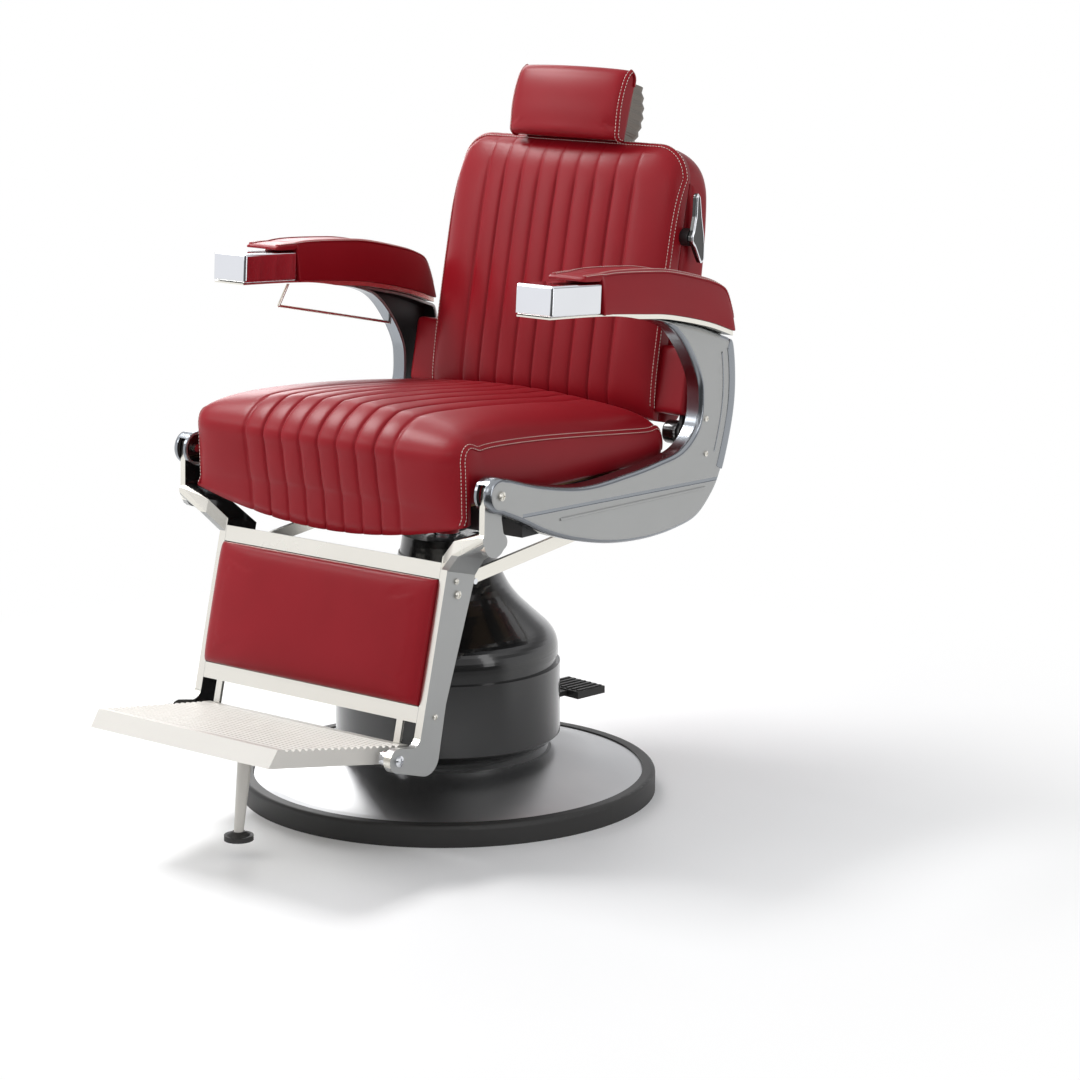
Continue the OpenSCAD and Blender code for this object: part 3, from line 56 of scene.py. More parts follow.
camera = bpy.data.objects.new("camera", bpy.data.cameras.new("camera"))
camera.data.lens = CAMERA_LENS
camera.data.sensor_width = CAMERA_SENSOR
camera.location = CAMERA_PLACE
camera.rotation_euler = (math.pi / 2 - CAMERA_RISE, 0, CAMERA_AZIMUTH)
scene.collection.objects.link(camera)
scene.camera = camera

# Each softbox: its name, its place, the point that it faces, its width and height, and its watts.
SOFTBOXES = (
    ("key_softbox", (-1.9, -0.5, 3.0), (0, -0.15, 0.6), 1.3, 0.7, 66),
    ("left_softbox", (-1.9, -1.9, 1.9), (0, 0.1, 0.85), 1.5, 0.8, 15),
    ("front_fill", (0.2, -3.2, 2.6), (0, -0.1, 0.6), 2.2, 1.4, 14),
    ("side_strip", (3.2, -0.4, 1.5), (0.2, 0, 0.6), 0.7, 2.4, 13),
    ("back_strip", (-2.4, 1.8, 2.0), (0, 0.1, 0.7), 1.0, 2.2, 30))

for name, place, aim, width, height, watts in SOFTBOXES:
    light = bpy.data.lights.new(name, "AREA")
    light.shape = "RECTANGLE"
    light.size, light.size_y = width, height
    light.energy = watts
    lamp = bpy.data.objects.new(name, light)
    lamp.location = place
    lamp.rotation_euler = (Vector(aim) - Vector(place)).to_track_quat("-Z", "Y").to_euler()
    scene.collection.objects.link(lamp)


def add(tree, kind, settings=None, **sockets):
    """A shader node with its settings, each socket given a value or joined to another node's output."""
    node = tree.nodes.new("ShaderNode" + kind)
    for key, value in (settings or {}).items():
        setattr(node, key, value)
    for key, value in sockets.items():
        if key.startswith("in"):
            socket = node.inputs[int(key[2:])]
        else:
            socket = node.inputs[key.replace("_", " ")]
        if isinstance(value, bpy.types.NodeSocket):
            tree.links.new(value, socket)
        else:
            socket.default_value = value
    return node


def reckon(tree, operation, first, second):
    """The result of one step of arithmetic on two values or sockets."""
    return add(tree, "Math", {"operation": operation}, in0=first, in1=second).outputs[0]


def toward(tree, direction, way):
    """How far a unit direction points along way, from -1 to 1: their dot product."""
    return add(tree, "VectorMath", {"operation": "DOT_PRODUCT"}, in0=direction, in1=way).outputs[1]


SKY_COLOUR = (0.93, 0.94, 0.96, 1)
SKY_STRENGTH = 0.62
SKY_BLUE = 1.02
# The mirrored room's brightness over the height that a ray points to, between its white ends.
SKY_BAND = ((0.2, 1.0), (0.3, 0.45), (0.44, 0.4), (0.56, 0.95))
DOORWAY_WAY = (0.629, -0.777, 0)
DOORWAY_EDGE = (0.42, 0.62)
DOORWAY_TOP = (0.1, 0.25)
DOORWAY_TONE = 0.12
DOORWAY_FLOOR_SHADE = 0.9

world = bpy.data.worlds.new("studio")
scene.world = world
world.use_nodes = True
sky = world.node_tree
ray = add(sky, "TexCoord").outputs["Generated"]
rise = add(sky, "SeparateXYZ", Vector=ray).outputs[2]
band = add(sky, "ValToRGB", Fac=rise)
band.color_ramp.elements[0].color = (1, 1, SKY_BLUE, 1)
for step, tone in SKY_BAND:
    band.color_ramp.elements.new(step).color = (tone, tone, tone * SKY_BLUE, 1)
doorway = add(sky, "MapRange", Value=toward(sky, ray, DOORWAY_WAY), From_Min=DOORWAY_EDGE[0],
              From_Max=DOORWAY_EDGE[1], To_Min=1.0, To_Max=DOORWAY_TONE)
above = add(sky, "MapRange", Value=rise, From_Min=DOORWAY_TOP[0], From_Max=DOORWAY_TOP[1])
dim = reckon(sky, "MAXIMUM", doorway.outputs[0], above.outputs[0])
mirrored_room = add(sky, "Background", Color=band.outputs[0], Strength=dim)
plain = sky.nodes["Background"]
plain.inputs[0].default_value = SKY_COLOUR
plain.inputs[1].default_value = SKY_STRENGTH
white = add(sky, "Background", Color=(1, 1, 1, 1), Strength=1.0)
rays = add(sky, "LightPath")
lit = add(sky, "MixShader", in0=rays.outputs["Is Glossy Ray"], in1=plain.outputs[0],
          in2=mirrored_room.outputs[0])
mix = add(sky, "MixShader", in0=rays.outputs["Is Camera Ray"], in1=lit.outputs[0], in2=white.outputs[0])
sky.links.new(mix.outputs[0], sky.nodes["World Output"].inputs[0])


def new_material(name):
    """An empty material: its node tree and its shader."""
    made = bpy.data.materials.new(name)
    made.use_nodes = True
    tree = made.node_tree
    tree.nodes.clear()
    out = tree.nodes.new("ShaderNodeOutputMaterial")
    shader = tree.nodes.new("ShaderNodeBsdfPrincipled")
    tree.links.new(shader.outputs[0], out.inputs[0])
    return made, tree, shader


FLOOR_REACH = 14
FLOOR_TONES = (0.93, 0.96)
FLOOR_ROUGH = 0.6
FLOOR_FADE = (0.45, 1.5)

floor_mesh = bpy.data.meshes.new("floor")
floor_mesh.from_pydata([(-FLOOR_REACH, -FLOOR_REACH, 0), (FLOOR_REACH, -FLOOR_REACH, 0),
                        (FLOOR_REACH, FLOOR_REACH, 0), (-FLOOR_REACH, FLOOR_REACH, 0)], [], [(0, 1, 2, 3)])
floor = bpy.data.objects.new("floor", floor_mesh)
scene.collection.objects.link(floor)
floor_paint, tree, shader = new_material("floor_paint")
at = add(tree, "TexCoord").outputs["Object"]
spots = add(tree, "TexNoise", Vector=at, Scale=3.0)
tone = add(tree, "MapRange", Value=spots.outputs[0], To_Min=FLOOR_TONES[0], To_Max=FLOOR_TONES[1])
tree.links.new(tone.outputs[0], shader.inputs["Base Color"])
shader.inputs["Roughness"].default_value = FLOOR_ROUGH
span = add(tree, "VectorMath", {"operation": "LENGTH"}, in0=at).outputs[1]
far = add(tree, "MapRange", {"interpolation_type": "SMOOTHSTEP"}, Value=span, From_Min=FLOOR_FADE[0],
          From_Max=FLOOR_FADE[1])
rays = add(tree, "LightPath")
seen = reckon(tree, "MAXIMUM", rays.outputs["Is Camera Ray"], rays.outputs["Is Glossy Ray"])
seen = reckon(tree, "MAXIMUM", seen, rays.outputs["Is Transmission Ray"])
ahead = toward(tree, add(tree, "VectorMath", {"operation": "NORMALIZE"}, in0=at).outputs[0], DOORWAY_WAY)
doorway = add(tree, "MapRange", Value=ahead, From_Min=DOORWAY_EDGE[0], From_Max=DOORWAY_EDGE[1],
              To_Min=0.0, To_Max=DOORWAY_FLOOR_SHADE)
shade = reckon(tree, "MULTIPLY", doorway.outputs[0], rays.outputs["Is Glossy Ray"])
glow = add(tree, "Emission", Color=(1, 1, 1, 1), Strength=reckon(tree, "SUBTRACT", 1.0, shade))
both = add(tree, "MixShader", in0=reckon(tree, "MULTIPLY", far.outputs[0], seen), in1=shader.outputs[0],
           in2=glow.outputs[0])
tree.links.new(both.outputs[0], tree.nodes["Material Output"].inputs[0])
floor_mesh.materials.append(floor_paint)

# Floor plate
# A moulded rubber rim round a pressed and brushed steel dome, over a cast iron weight plate. The
# brush marks run round the dome's axis.


def colour(r, g, b):
    """A shader colour from an sRGB colour of 0 to 255."""
    return tuple(((c / 255 + 0.055) / 1.055) ** 2.4 if c > 10 else c / 3294.6 for c in (r, g, b)) + (1,)


def bumped(tree, shader, height, strength, distance):
    """Joins a height to the shader's normal."""
    bump = add(tree, "Bump", Height=height, Strength=strength, Distance=distance)
    tree.links.new(bump.outputs[0], shader.inputs["Normal"])


CLOUD_SCALE = 9.0
GRAIN_STRENGTH = 0.35


def grained(name, tone, spread, rough, wander, metallic, grain, depth, coat=0.0):
    """A finish over a fine grain: its tone rises by spread and its shine wanders in soft clouds."""
    made, tree, shader = new_material(name)
    at = add(tree, "TexCoord").outputs["Object"]
    cloud = add(tree, "TexNoise", Vector=at, Scale=CLOUD_SCALE, Detail=4.0).outputs[0]
    fine = add(tree, "TexNoise", Vector=at, Scale=grain, Detail=3.0).outputs[0]
    tint = add(tree, "MixRGB", Fac=cloud, Color1=colour(*tone),
               Color2=colour(*(min(255, c + spread) for c in tone)))
    tree.links.new(tint.outputs[0], shader.inputs["Base Color"])
    shine = add(tree, "MapRange", Value=cloud, To_Min=rough - wander, To_Max=rough + wander)
    tree.links.new(shine.outputs[0], shader.inputs["Roughness"])
    shader.inputs["Metallic"].default_value = metallic
    shader.inputs["Coat Weight"].default_value = coat
    bumped(tree, shader, fine, GRAIN_STRENGTH, depth)
    return made


def finish(names, made):
    """Gives CAD nodes a better material in their objects' slots."""
    for name in names.split():
        slots = nodes[name].material_slots
        for place in range(len(slots)):
            slots[place].link = "OBJECT"
            slots[place].material = made


rim_rubber = grained("rim_rubber", (30, 29, 28), spread=14, rough=0.52, wander=0.1, metallic=0,
                     grain=420, depth=0.0004)
weight_iron = grained("weight_iron", (60, 60, 60), spread=24, rough=0.6, wander=0.1, metallic=0.4,
                      grain=260, depth=0.0006)
finish("base_rim foot_pedal prop_foot", rim_rubber)
finish("base_plate", weight_iron)

DOME_TONES = ((196, 197, 199), (214, 214, 214))
DOME_ROUGH = (0.27, 0.42)
DOME_BRUSHING = 0.8
BRUSH_MARKS = 1400.0

dome_steel, tree, shader = new_material("dome_steel")
at = add(tree, "TexCoord").outputs["Object"]
level = add(tree, "VectorMath", {"operation": "MULTIPLY"}, in0=at, in1=(1, 1, 0)).outputs[0]
radius = add(tree, "VectorMath", {"operation": "LENGTH"}, in0=level).outputs[1]
rings = add(tree, "TexNoise", {"noise_dimensions": "1D"}, W=radius, Scale=BRUSH_MARKS, Detail=3.0)
cloud = add(tree, "TexNoise", Vector=at, Scale=7.0, Detail=4.0)
tint = add(tree, "MixRGB", Fac=cloud.outputs[0], Color1=colour(*DOME_TONES[0]),
           Color2=colour(*DOME_TONES[1]))
tree.links.new(tint.outputs[0], shader.inputs["Base Color"])
shine = add(tree, "MapRange", Value=rings.outputs[0], To_Min=DOME_ROUGH[0], To_Max=DOME_ROUGH[1])
tree.links.new(shine.outputs[0], shader.inputs["Roughness"])
shader.inputs["Metallic"].default_value = 1
shader.inputs["Anisotropic"].default_value = DOME_BRUSHING
turning = add(tree, "Tangent", {"direction_type": "RADIAL", "axis": "Z"})
tree.links.new(turning.outputs[0], shader.inputs["Tangent"])
bumped(tree, shader, rings.outputs[0], 0.25, 0.0002)
finish("base_dome", dome_steel)

# Cover, lift and pedal
# Two gloss moulded half covers clipped at the foot and screwed at the collar, round the cast iron
# pump, with the rocker pedal's bracket and the chromed post of the ram.

cover_black = grained("cover_black", (20, 20, 20), spread=6, rough=0.2, wander=0.04, metallic=0,
                      grain=900, depth=0.00015, coat=0.5)
pump_iron = grained("pump_iron", (120, 121, 122), spread=20, rough=0.5, wander=0.08, metallic=0.5,
                    grain=260, depth=0.0005)
chrome = grained("chrome", (222, 224, 228), spread=8, rough=0.07, wander=0.03, metallic=1,
                 grain=60, depth=0.00002)
finish("cover_left cover_right power_inlet pedal_bracket", cover_black)
finish("pump_cylinder pump_motor oil_tank", pump_iron)
finish("lift_piston ram_spigot cover_clips cover_screws", chrome)

# Under frame and side frames
# A welded steel deck on the post's socket, and two sand-cast aluminium side frames, open inside and
# lacquered satin, with polished edges darkened by painted shade. The back's hinge has a boss in each hollow.

black_steel = grained("black_steel", (32, 32, 33), spread=12, rough=0.42, wander=0.08, metallic=0.2,
                      grain=300, depth=0.0003)
bright_nickel = grained("bright_nickel", (230, 227, 218), spread=12, rough=0.26, wander=0.05, metallic=1,
                        grain=700, depth=0.0001)
cast_aluminium = grained("cast_aluminium", (164, 165, 164), spread=12, rough=0.4, wander=0.06, metallic=0.7,
                         grain=1500, depth=0.0003)
# The polished edges' darker tone is painted shade: it stands for the dark that the rounded edges, the grooves
# and the rear rim mirror.
polished_edge = grained("polished_edge", (140, 144, 149), spread=14, rough=0.2, wander=0.04, metallic=1,
                        grain=90, depth=0.00004)
finish("post_socket under_frame lever_boss", black_steel)
finish("frame_screws frame_pins", bright_nickel)


def unit(vectors):
    """Vectors brought to length one."""
    return vectors / np.maximum(np.linalg.norm(vectors, axis=-1, keepdims=True), 1e-12)


def along(points, at):
    """Points on the smooth curve through the rows of points, at fractional row numbers.

    Between rows b and c, with a before and d after, the curve is the Catmull-Rom cubic
    (2b + (c - a) t + (2a - 5b + 4c - d) t^2 + (3b - a - 3c + d) t^3) / 2.
    """
    rows = np.asarray(points, float)
    at = np.asarray(at, float)
    last = len(rows) - 1
    low = np.clip(np.floor(at).astype(int), 0, last - 1)
    t = (at - low).reshape((-1,) + (1,) * (rows.ndim - 1))
    a, b, c, d = rows[np.maximum(low - 1, 0)], rows[low], rows[low + 1], rows[np.minimum(low + 2, last)]
    return (2 * b + (c - a) * t + (2 * a - 5 * b + 4 * c - d) * t ** 2
            + (3 * b - a - 3 * c + d) * t ** 3) / 2


def counterclockwise(ring):
    """A closed outline put the right way round, by the sign of its area (the sum of y z' - y' z)."""
    ahead = np.roll(ring, -1, 0)
    return ring if np.sum(ring[:, 0] * ahead[:, 1] - ahead[:, 0] * ring[:, 1]) > 0 else ring[::-1]


def lengths(points):
    """The length run along a path at each of its points."""
    return np.concatenate([[0], np.cumsum(np.linalg.norm(np.diff(points, axis=0), axis=1))])


def read_at(at, run, rows):
    """Rows of values that stand at the lengths run, read in a straight line between them at other lengths."""
    return np.stack([np.interp(at, run, rows[:, k]) for k in range(rows.shape[1])], axis=1)


def even_ring(points, step):
    """A closed outline resampled at equal steps of its length, counterclockwise."""
    closed = np.concatenate([points, points[:1]])
    run = lengths(closed)
    at = np.linspace(0, run[-1], max(12, int(run[-1] / step)), endpoint=False)
    return counterclockwise(read_at(at, run, closed))


def softened(ring, times):
    """A closed outline with its corners rounded by averaging each point with its neighbours."""
    for _ in range(times):
        ring = (np.roll(ring, 1, 0) + 2 * ring + np.roll(ring, -1, 0)) / 4
    return ring


def round_outline(centre, radius, sides):
    """A circle in (y, z): centre + radius (cos t, sin t)."""
    turn = np.linspace(0, 2 * np.pi, sides, endpoint=False)
    return centre + radius * np.stack([np.cos(turn), np.sin(turn)], axis=1)


def turned_by(points, degrees):
    """Points in (y, z) turned about the origin."""
    c, s = math.cos(math.radians(degrees)), math.sin(math.radians(degrees))
    return points @ np.array([(c, s), (-s, c)])


def tilted_box(y, z, length, height, degrees):
    """Corners of a rectangle whose place and self are turned about the origin, as on the drawing."""
    return turned_by(np.array([(y, z), (y + length, z), (y + length, z + height), (y, z + height)]), degrees)


ROUND_STEPS = 6


def quarter_round(x, radius):
    """Places of a rounded edge that ends at x: x - r (1 - sin t) out, r (1 - cos t) in."""
    return [(x - radius * (1 - math.sin(t)), radius * (1 - math.cos(t)))
            for t in np.linspace(0, np.pi / 2, ROUND_STEPS)]


def ring_normals(ring):
    """Outward unit normals of a counterclockwise outline."""
    run = unit(np.roll(ring, -1, 0) - np.roll(ring, 1, 0))
    return np.stack([run[:, 1], -run[:, 0]], axis=1)


ROOM_SHARE = 0.86
FAR_ROOM = 9.0


def room_inside(ring, most):
    """How far each point of an outline may move inward before it meets the other side.

    The circle that touches the outline at a point and goes through another, at apart from it, has the
    radius apart^2 / (2 apart.inward). The room is a share of the least such radius, evened out.
    """
    apart = ring[None] - ring[:, None]
    into = -np.einsum("ijk,ik->ij", apart, ring_normals(ring))
    span = np.sum(apart ** 2, axis=2)
    radius = np.where(into > 1e-6, span / (2 * np.maximum(into, 1e-6)), FAR_ROOM)
    room = np.minimum(radius.min(axis=1) * ROOM_SHARE, most)
    for _ in range(6):
        room = np.minimum(room, (np.roll(room, 1) + room + np.roll(room, -1)) / 3)
    return room


def faced(name, points, corners, counts):
    """A mesh with its faces turned outward, from the faces' corners in one row and each face's count."""
    mesh = bpy.data.meshes.new(name)
    mesh.vertices.add(len(points))
    mesh.vertices.foreach_set("co", np.ascontiguousarray(points, np.float32).ravel())
    mesh.loops.add(len(corners))
    mesh.loops.foreach_set("vertex_index", corners.astype(np.int32))
    mesh.polygons.add(len(counts))
    mesh.polygons.foreach_set("loop_start", (np.cumsum(counts) - counts).astype(np.int32))
    mesh.update(calc_edges=True)
    turned = bmesh.new()
    turned.from_mesh(mesh)
    bmesh.ops.recalc_face_normals(turned, faces=turned.faces)
    turned.to_mesh(mesh)
    turned.free()
    return mesh


def placed(name, mesh):
    """A mesh as an object of the scene, at the origin."""
    made = bpy.data.objects.new(name, mesh)
    scene.collection.objects.link(made)
    return made


def cast(name, ring, levels, made_of, inside=None):
    """A casting over an outline in (y, z), closed by its first and last rings.

    Each level is (x, inset, finish number): the outline moved inward by the inset, or as far as it has
    room, at x. A strip of four-cornered faces joins each ring to the next and takes its finish.
    """
    xs, insets, finishes = np.array(levels, float).T
    count, last = len(ring), len(levels) - 1
    inward = np.minimum(insets[:, None], room_inside(ring, insets.max()))
    moved = ring - ring_normals(ring) * inward[..., None]
    points = np.concatenate([np.repeat(xs[:, None, None], count, axis=1), moved], axis=2).reshape(-1, 3)
    here = np.arange(last * count).reshape(last, count)
    beside = np.roll(here, -1, axis=1)
    walls = np.stack([here, beside, beside + count, here + count], axis=-1)
    corners = np.concatenate([walls.ravel(), np.arange(count), last * count + np.arange(count)])
    mesh = faced(name, points, corners, np.append(np.full(last * count, 4), (count, count)))
    mesh.materials.append(made_of)
    mesh.materials.append(inside or made_of)
    numbers = np.concatenate([np.repeat(finishes[1:], count), finishes[[0, -1]]])
    mesh.polygons.foreach_set("material_index", numbers.astype(np.int32))
    return placed(name, mesh)


def drum(name, x, centre, radius, length, made_of, sides=64, eased_by=0.0012):
    """A round boss along X from x, with softened rims."""
    shallow = eased_by * 0.3
    levels = [(x, eased_by, 0), (x + shallow, shallow, 0), (x + eased_by, 0, 0),
              (x + length - eased_by, 0, 0), (x + length - shallow, shallow, 0), (x + length, eased_by, 0)]
    return cast(name, round_outline(centre, radius, sides), levels, made_of)


def slab(name, ring, x0, x1, made_of):
    """A plain prism over (y, z) corners from x0 to x1, to cut with."""
    return cast(name, counterclockwise(ring), [(x0, 0, 1), (x1, 0, 1)], made_of)


def carve(piece, tools):
    """Cuts tools out of a piece and removes them."""
    bpy.context.view_layer.objects.active = piece
    for tool in tools:
        change = piece.modifiers.new("carve", "BOOLEAN")
        change.operation = "DIFFERENCE"
        change.solver = "EXACT"
        change.object = tool
        bpy.ops.object.modifier_apply(modifier=change.name)
        bpy.data.objects.remove(tool)


def crisp(piece, angle=32):
    """Smooth faces with the sharp edges kept, and shading that leaves the flat faces flat."""
    mesh = piece.data
    mesh.polygons.foreach_set("use_smooth", [True] * len(mesh.polygons))
    mesh.set_sharp_from_angle(angle=math.radians(angle))
    bpy.context.view_layer.objects.active = piece
    weight = piece.modifiers.new("weight", "WEIGHTED_NORMAL")
    weight.keep_sharp = True
    bpy.ops.object.modifier_apply(modifier=weight.name)


def mirrored(piece, name):
    """The right-hand twin of a left-hand piece."""
    mesh = piece.data.copy()
    place = np.empty(len(mesh.vertices) * 3)
    mesh.vertices.foreach_get("co", place)
    place[::3] *= -1
    mesh.vertices.foreach_set("co", place)
    mesh.flip_normals()
    made = placed(name, mesh)
    crisp(made)
    return made


FRAME_X = 0.292
FRAME_THICK = 0.030
FRAME_OUT = FRAME_X + FRAME_THICK
FRAME_FRONT = -0.281
FRAME_LENGTH = 0.604
FRAME_BELLY = 0.430
FRAME_HEIGHT = 0.338
FRAME_SCALE = np.array([FRAME_LENGTH, FRAME_HEIGHT])
FRAME_START = np.array([FRAME_FRONT, FRAME_BELLY])
FRAME_ROUND = 0.009
# The inset up to which the outer rounding takes the polished edge's darker tone, which is painted shade.
FRAME_POLISH_SHADE = 0.0065
PLATE_ROOM = 0.0073
LEG_PIVOT = np.array([0, -0.254, 0.551])
BACK_PIVOT = np.array([0, 0.245, 0.570])
KNUCKLE = 0.027
ARM_Z = 0.801
ARM_FRONT = -0.163
ARM_LENGTH = 0.477
UNDER_ARM = np.array([(0, 0), (0.24, -0.022), (0.47, -0.055), (0.62, -0.082), (0.82, -0.145), (0.96, -0.21)])
REAR_SHARES = np.array([
    (0.03, 0.29), (0.127, 0.22), (0.212, 0.15), (0.296, 0.097), (0.382, 0.056), (0.47, 0.024), (0.56, 0.006),
    (0.649, 0), (0.742, 0.009), (0.836, 0.041), (0.9, 0.124), (0.939, 0.216), (0.973, 0.37), (0.996, 0.534),
    (1, 0.684), (0.989, 0.827), (0.965, 0.877)])
INNER_SHARES = np.array([
    (0.5, 1.05), (0.585, 1.015), (0.66, 0.988), (0.733, 0.938), (0.79, 0.847), (0.838, 0.718), (0.853, 0.616),
    (0.842, 0.472), (0.776, 0.376), (0.675, 0.343), (0.558, 0.323), (0.38, 0.312), (0.21, 0.36),
    (0.07, 0.43)])


def under_arm(y):
    """Height of the arm pad's underside at y: the arm's plate on its smooth line, straight past its end."""
    line = along(UNDER_ARM, np.linspace(0, 5, 101)) * (ARM_LENGTH, FRAME_HEIGHT) + (ARM_FRONT, ARM_Z)
    slope = (line[-1, 1] - line[-2, 1]) / (line[-1, 0] - line[-2, 0])
    return np.interp(y, line[:, 0], line[:, 1]) + np.maximum(0, y - line[-1, 0]) * slope


def frame_outline():
    """The side frame's outline: belly and rear edge, underside of the arm, inner edge, knuckle's round."""
    pivot = LEG_PIVOT[1:]
    edges = []
    for shares in (REAR_SHARES, INNER_SHARES):
        edge = along(shares, np.linspace(0, len(shares) - 1, 400)) * FRAME_SCALE + FRAME_START
        edge = edge[edge[:, 1] < under_arm(edge[:, 0]) - PLATE_ROOM]
        edges.append(edge[np.linalg.norm(edge - pivot, axis=1) > KNUCKLE])
    rear, inner = edges
    arm_y = np.linspace(rear[-1, 0], inner[0, 0], 80)[1:-1]
    arm = np.stack([arm_y, under_arm(arm_y) - PLATE_ROOM], axis=1)
    last, first = inner[-1] - pivot, rear[0] - pivot
    turn = np.linspace(math.atan2(last[1], last[0]), math.atan2(first[1], first[0]) + 2 * np.pi, 60)
    arc = pivot + KNUCKLE * np.stack([np.cos(turn), np.sin(turn)], axis=1)
    return np.concatenate([rear, arm, inner, arc])


def on_frame(start, foot, length, height, degrees):
    """A tilted rectangle placed and sized by shares of the side frame, but for its height."""
    return tilted_box(FRAME_FRONT + FRAME_LENGTH * start, FRAME_BELLY + FRAME_HEIGHT * foot,
                      FRAME_LENGTH * length, height, degrees)


# From the hollow's floor, out over the open edge, and round to the face; the last step, on the inner edge,
# takes the polished edge's darker tone, which is painted shade.
FRAME_HOLLOW = [(FRAME_OUT - 0.0065, 0.0085, 1), (FRAME_OUT - 0.0065, 0.0075, 1),
                (FRAME_X + 0.0015, 0.0052, 1), (FRAME_X, 0.004, 0), (FRAME_X, 0.001, 0),
                (FRAME_X + 0.001, 0, 2)]
SLOT_RADIUS = 0.022
SLOT_X = (FRAME_X + 0.0055, FRAME_X + 0.0185)
SLOT_MOUTH = np.array([(-0.081, -0.0704), (0, -0.0704), (0, 0.00733), (-0.081, 0.00733)])
SLOT_BELOW = np.array([(-0.027, -0.066), (0.0418, -0.066), (0.0418, -0.0088), (-0.027, -0.0088)])
SLOT_TURN = -25
GROOVE_DEEP = 0.0022
ROLL_EDGES = (0.0015, 0.019)
LINE_EDGES = (0.032, 0.0345)
LINE_ENDS = slice(8, -4)
BOSS_RADIUS = 0.024
BOSS_LENGTH = FRAME_THICK - 0.008

outline = softened(even_ring(frame_outline(), 0.0028), 3)
# The outer rounding, up to that inset, is painted darker as shade in the polished edge finish.
face_edge = [(x, inset, 2 if inset < FRAME_POLISH_SHADE else 0)
             for x, inset in quarter_round(FRAME_OUT, FRAME_ROUND)]
side_frame = cast("side_casting_left", outline, FRAME_HOLLOW + face_edge + [(FRAME_OUT, 0.0098, 0)],
                  cast_aluminium, black_steel)
side_frame.data.materials.append(polished_edge)
knuckle = LEG_PIVOT[1:]
tools = [slab("slot", ring, *SLOT_X, black_steel)
         for ring in (round_outline(knuckle, SLOT_RADIUS, 48), knuckle + turned_by(SLOT_MOUTH, SLOT_TURN),
                      knuckle + SLOT_BELOW)]
# The groove's walls take the polished edge's darker tone as painted shade in the recess.
tools.append(cast("groove", on_frame(0.1, 0.219, 0.93, 0.0058, -1.8),
                  [(FRAME_OUT - GROOVE_DEEP, 0, 2), (FRAME_OUT + 0.001, 0, 2)], cast_aluminium))
carve(side_frame, tools)
crisp(side_frame)

# The rear edge, from the groove's height up to the arm, carries the rolled rim and the thin line, both in the
# polished edge's darker tone, which is painted shade.
normal = ring_normals(outline)
behind = ((normal[:, 0] > 0.35) & (outline[:, 0] > BACK_PIVOT[1])
          & (outline[:, 1] > FRAME_BELLY + FRAME_HEIGHT * 0.235))
first = np.flatnonzero(behind & ~np.roll(behind, 1))[0]
rim = np.roll(outline, -first, 0)[:behind.sum()]
away = np.roll(normal, -first, 0)[:behind.sum()]
roll = np.concatenate([rim - away * ROLL_EDGES[0], (rim - away * ROLL_EDGES[1])[::-1]])
roll = cast("frame_roll_left", softened(even_ring(roll, 0.0015), 4),
            [(FRAME_OUT - 0.004, 0.0004, 0), (FRAME_OUT - 0.0002, 0.0004, 0), (FRAME_OUT + 0.0007, 0.001, 0),
             (FRAME_OUT + 0.0013, 0.003, 0), (FRAME_OUT + 0.0015, 0.006, 0)], polished_edge)
outer_line, inner_line = [(rim - away * inset)[LINE_ENDS] for inset in LINE_EDGES]
line = np.concatenate([outer_line, inner_line[::-1]])
line = cast("frame_line_left", even_ring(line, 0.0008),
            [(FRAME_OUT - 0.001, 0, 0), (FRAME_OUT + 0.0004, 0, 0), (FRAME_OUT + 0.0007, 0.0005, 0)],
            polished_edge)
boss = drum("hinge_boss_left", FRAME_X + 0.0003, BACK_PIVOT[1:], BOSS_RADIUS, BOSS_LENGTH, cast_aluminium)
trim = cast("frame_trim_left", softened(even_ring(on_frame(0.255, 0.18, 0.6, 0.0042, -1.0), 0.0011), 2),
            [(FRAME_OUT - 0.0010, 0, 0), (FRAME_OUT + 0.0012, 0, 0), (FRAME_OUT + 0.0018, 0.0006, 0),
             (FRAME_OUT + 0.0021, 0.0014, 0)], cast_aluminium)
for piece in (boss, trim, roll, line):
    crisp(piece)
for piece in (side_frame, boss, trim, roll, line):
    twin = mirrored(piece, piece.name.replace("left", "right"))
    for part in (piece, twin):
        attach(part, "chair_frame")
    if piece is side_frame:
        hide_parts("side_frame_left")
        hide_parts("side_frame_right")

# Seat
# A sprung cushion in red vinyl on a plywood board: eight sewn channels that run over the nose and
# down the apron, plain side panels, and a welt stitched on both sides round each panel.

VINYL_TONES = ((131, 15, 25), (145, 20, 32))
VINYL_ROUGH = (0.33, 0.42)
VINYL_SPECULAR = 0.2
VINYL_CELLS = 620.0

red_vinyl, tree, shader = new_material("red_vinyl")
at = add(tree, "TexCoord").outputs["Object"]
cells = add(tree, "TexVoronoi", {"feature": "DISTANCE_TO_EDGE"}, Vector=at, Scale=VINYL_CELLS)
cloud = add(tree, "TexNoise", Vector=at, Scale=11.0, Detail=5.0)
tint = add(tree, "MixRGB", Fac=cloud.outputs[0], Color1=colour(*VINYL_TONES[0]),
           Color2=colour(*VINYL_TONES[1]))
tree.links.new(tint.outputs[0], shader.inputs["Base Color"])
shine = add(tree, "MapRange", Value=cloud.outputs[0], To_Min=VINYL_ROUGH[0], To_Max=VINYL_ROUGH[1])
tree.links.new(shine.outputs[0], shader.inputs["Roughness"])
shader.inputs["Specular IOR Level"].default_value = VINYL_SPECULAR
bumped(tree, shader, cells.outputs[0], 0.12, 0.0003)
plywood = grained("plywood", (150, 118, 80), spread=30, rough=0.6, wander=0.08, metallic=0, grain=200,
                  depth=0.0003)
thread_white = grained("thread_white", (226, 218, 208), spread=14, rough=0.62, wander=0.08, metallic=0,
                       grain=900, depth=0.0002)
finish("seat_board back_board", plywood)
finish("seat_bumpers", red_vinyl)


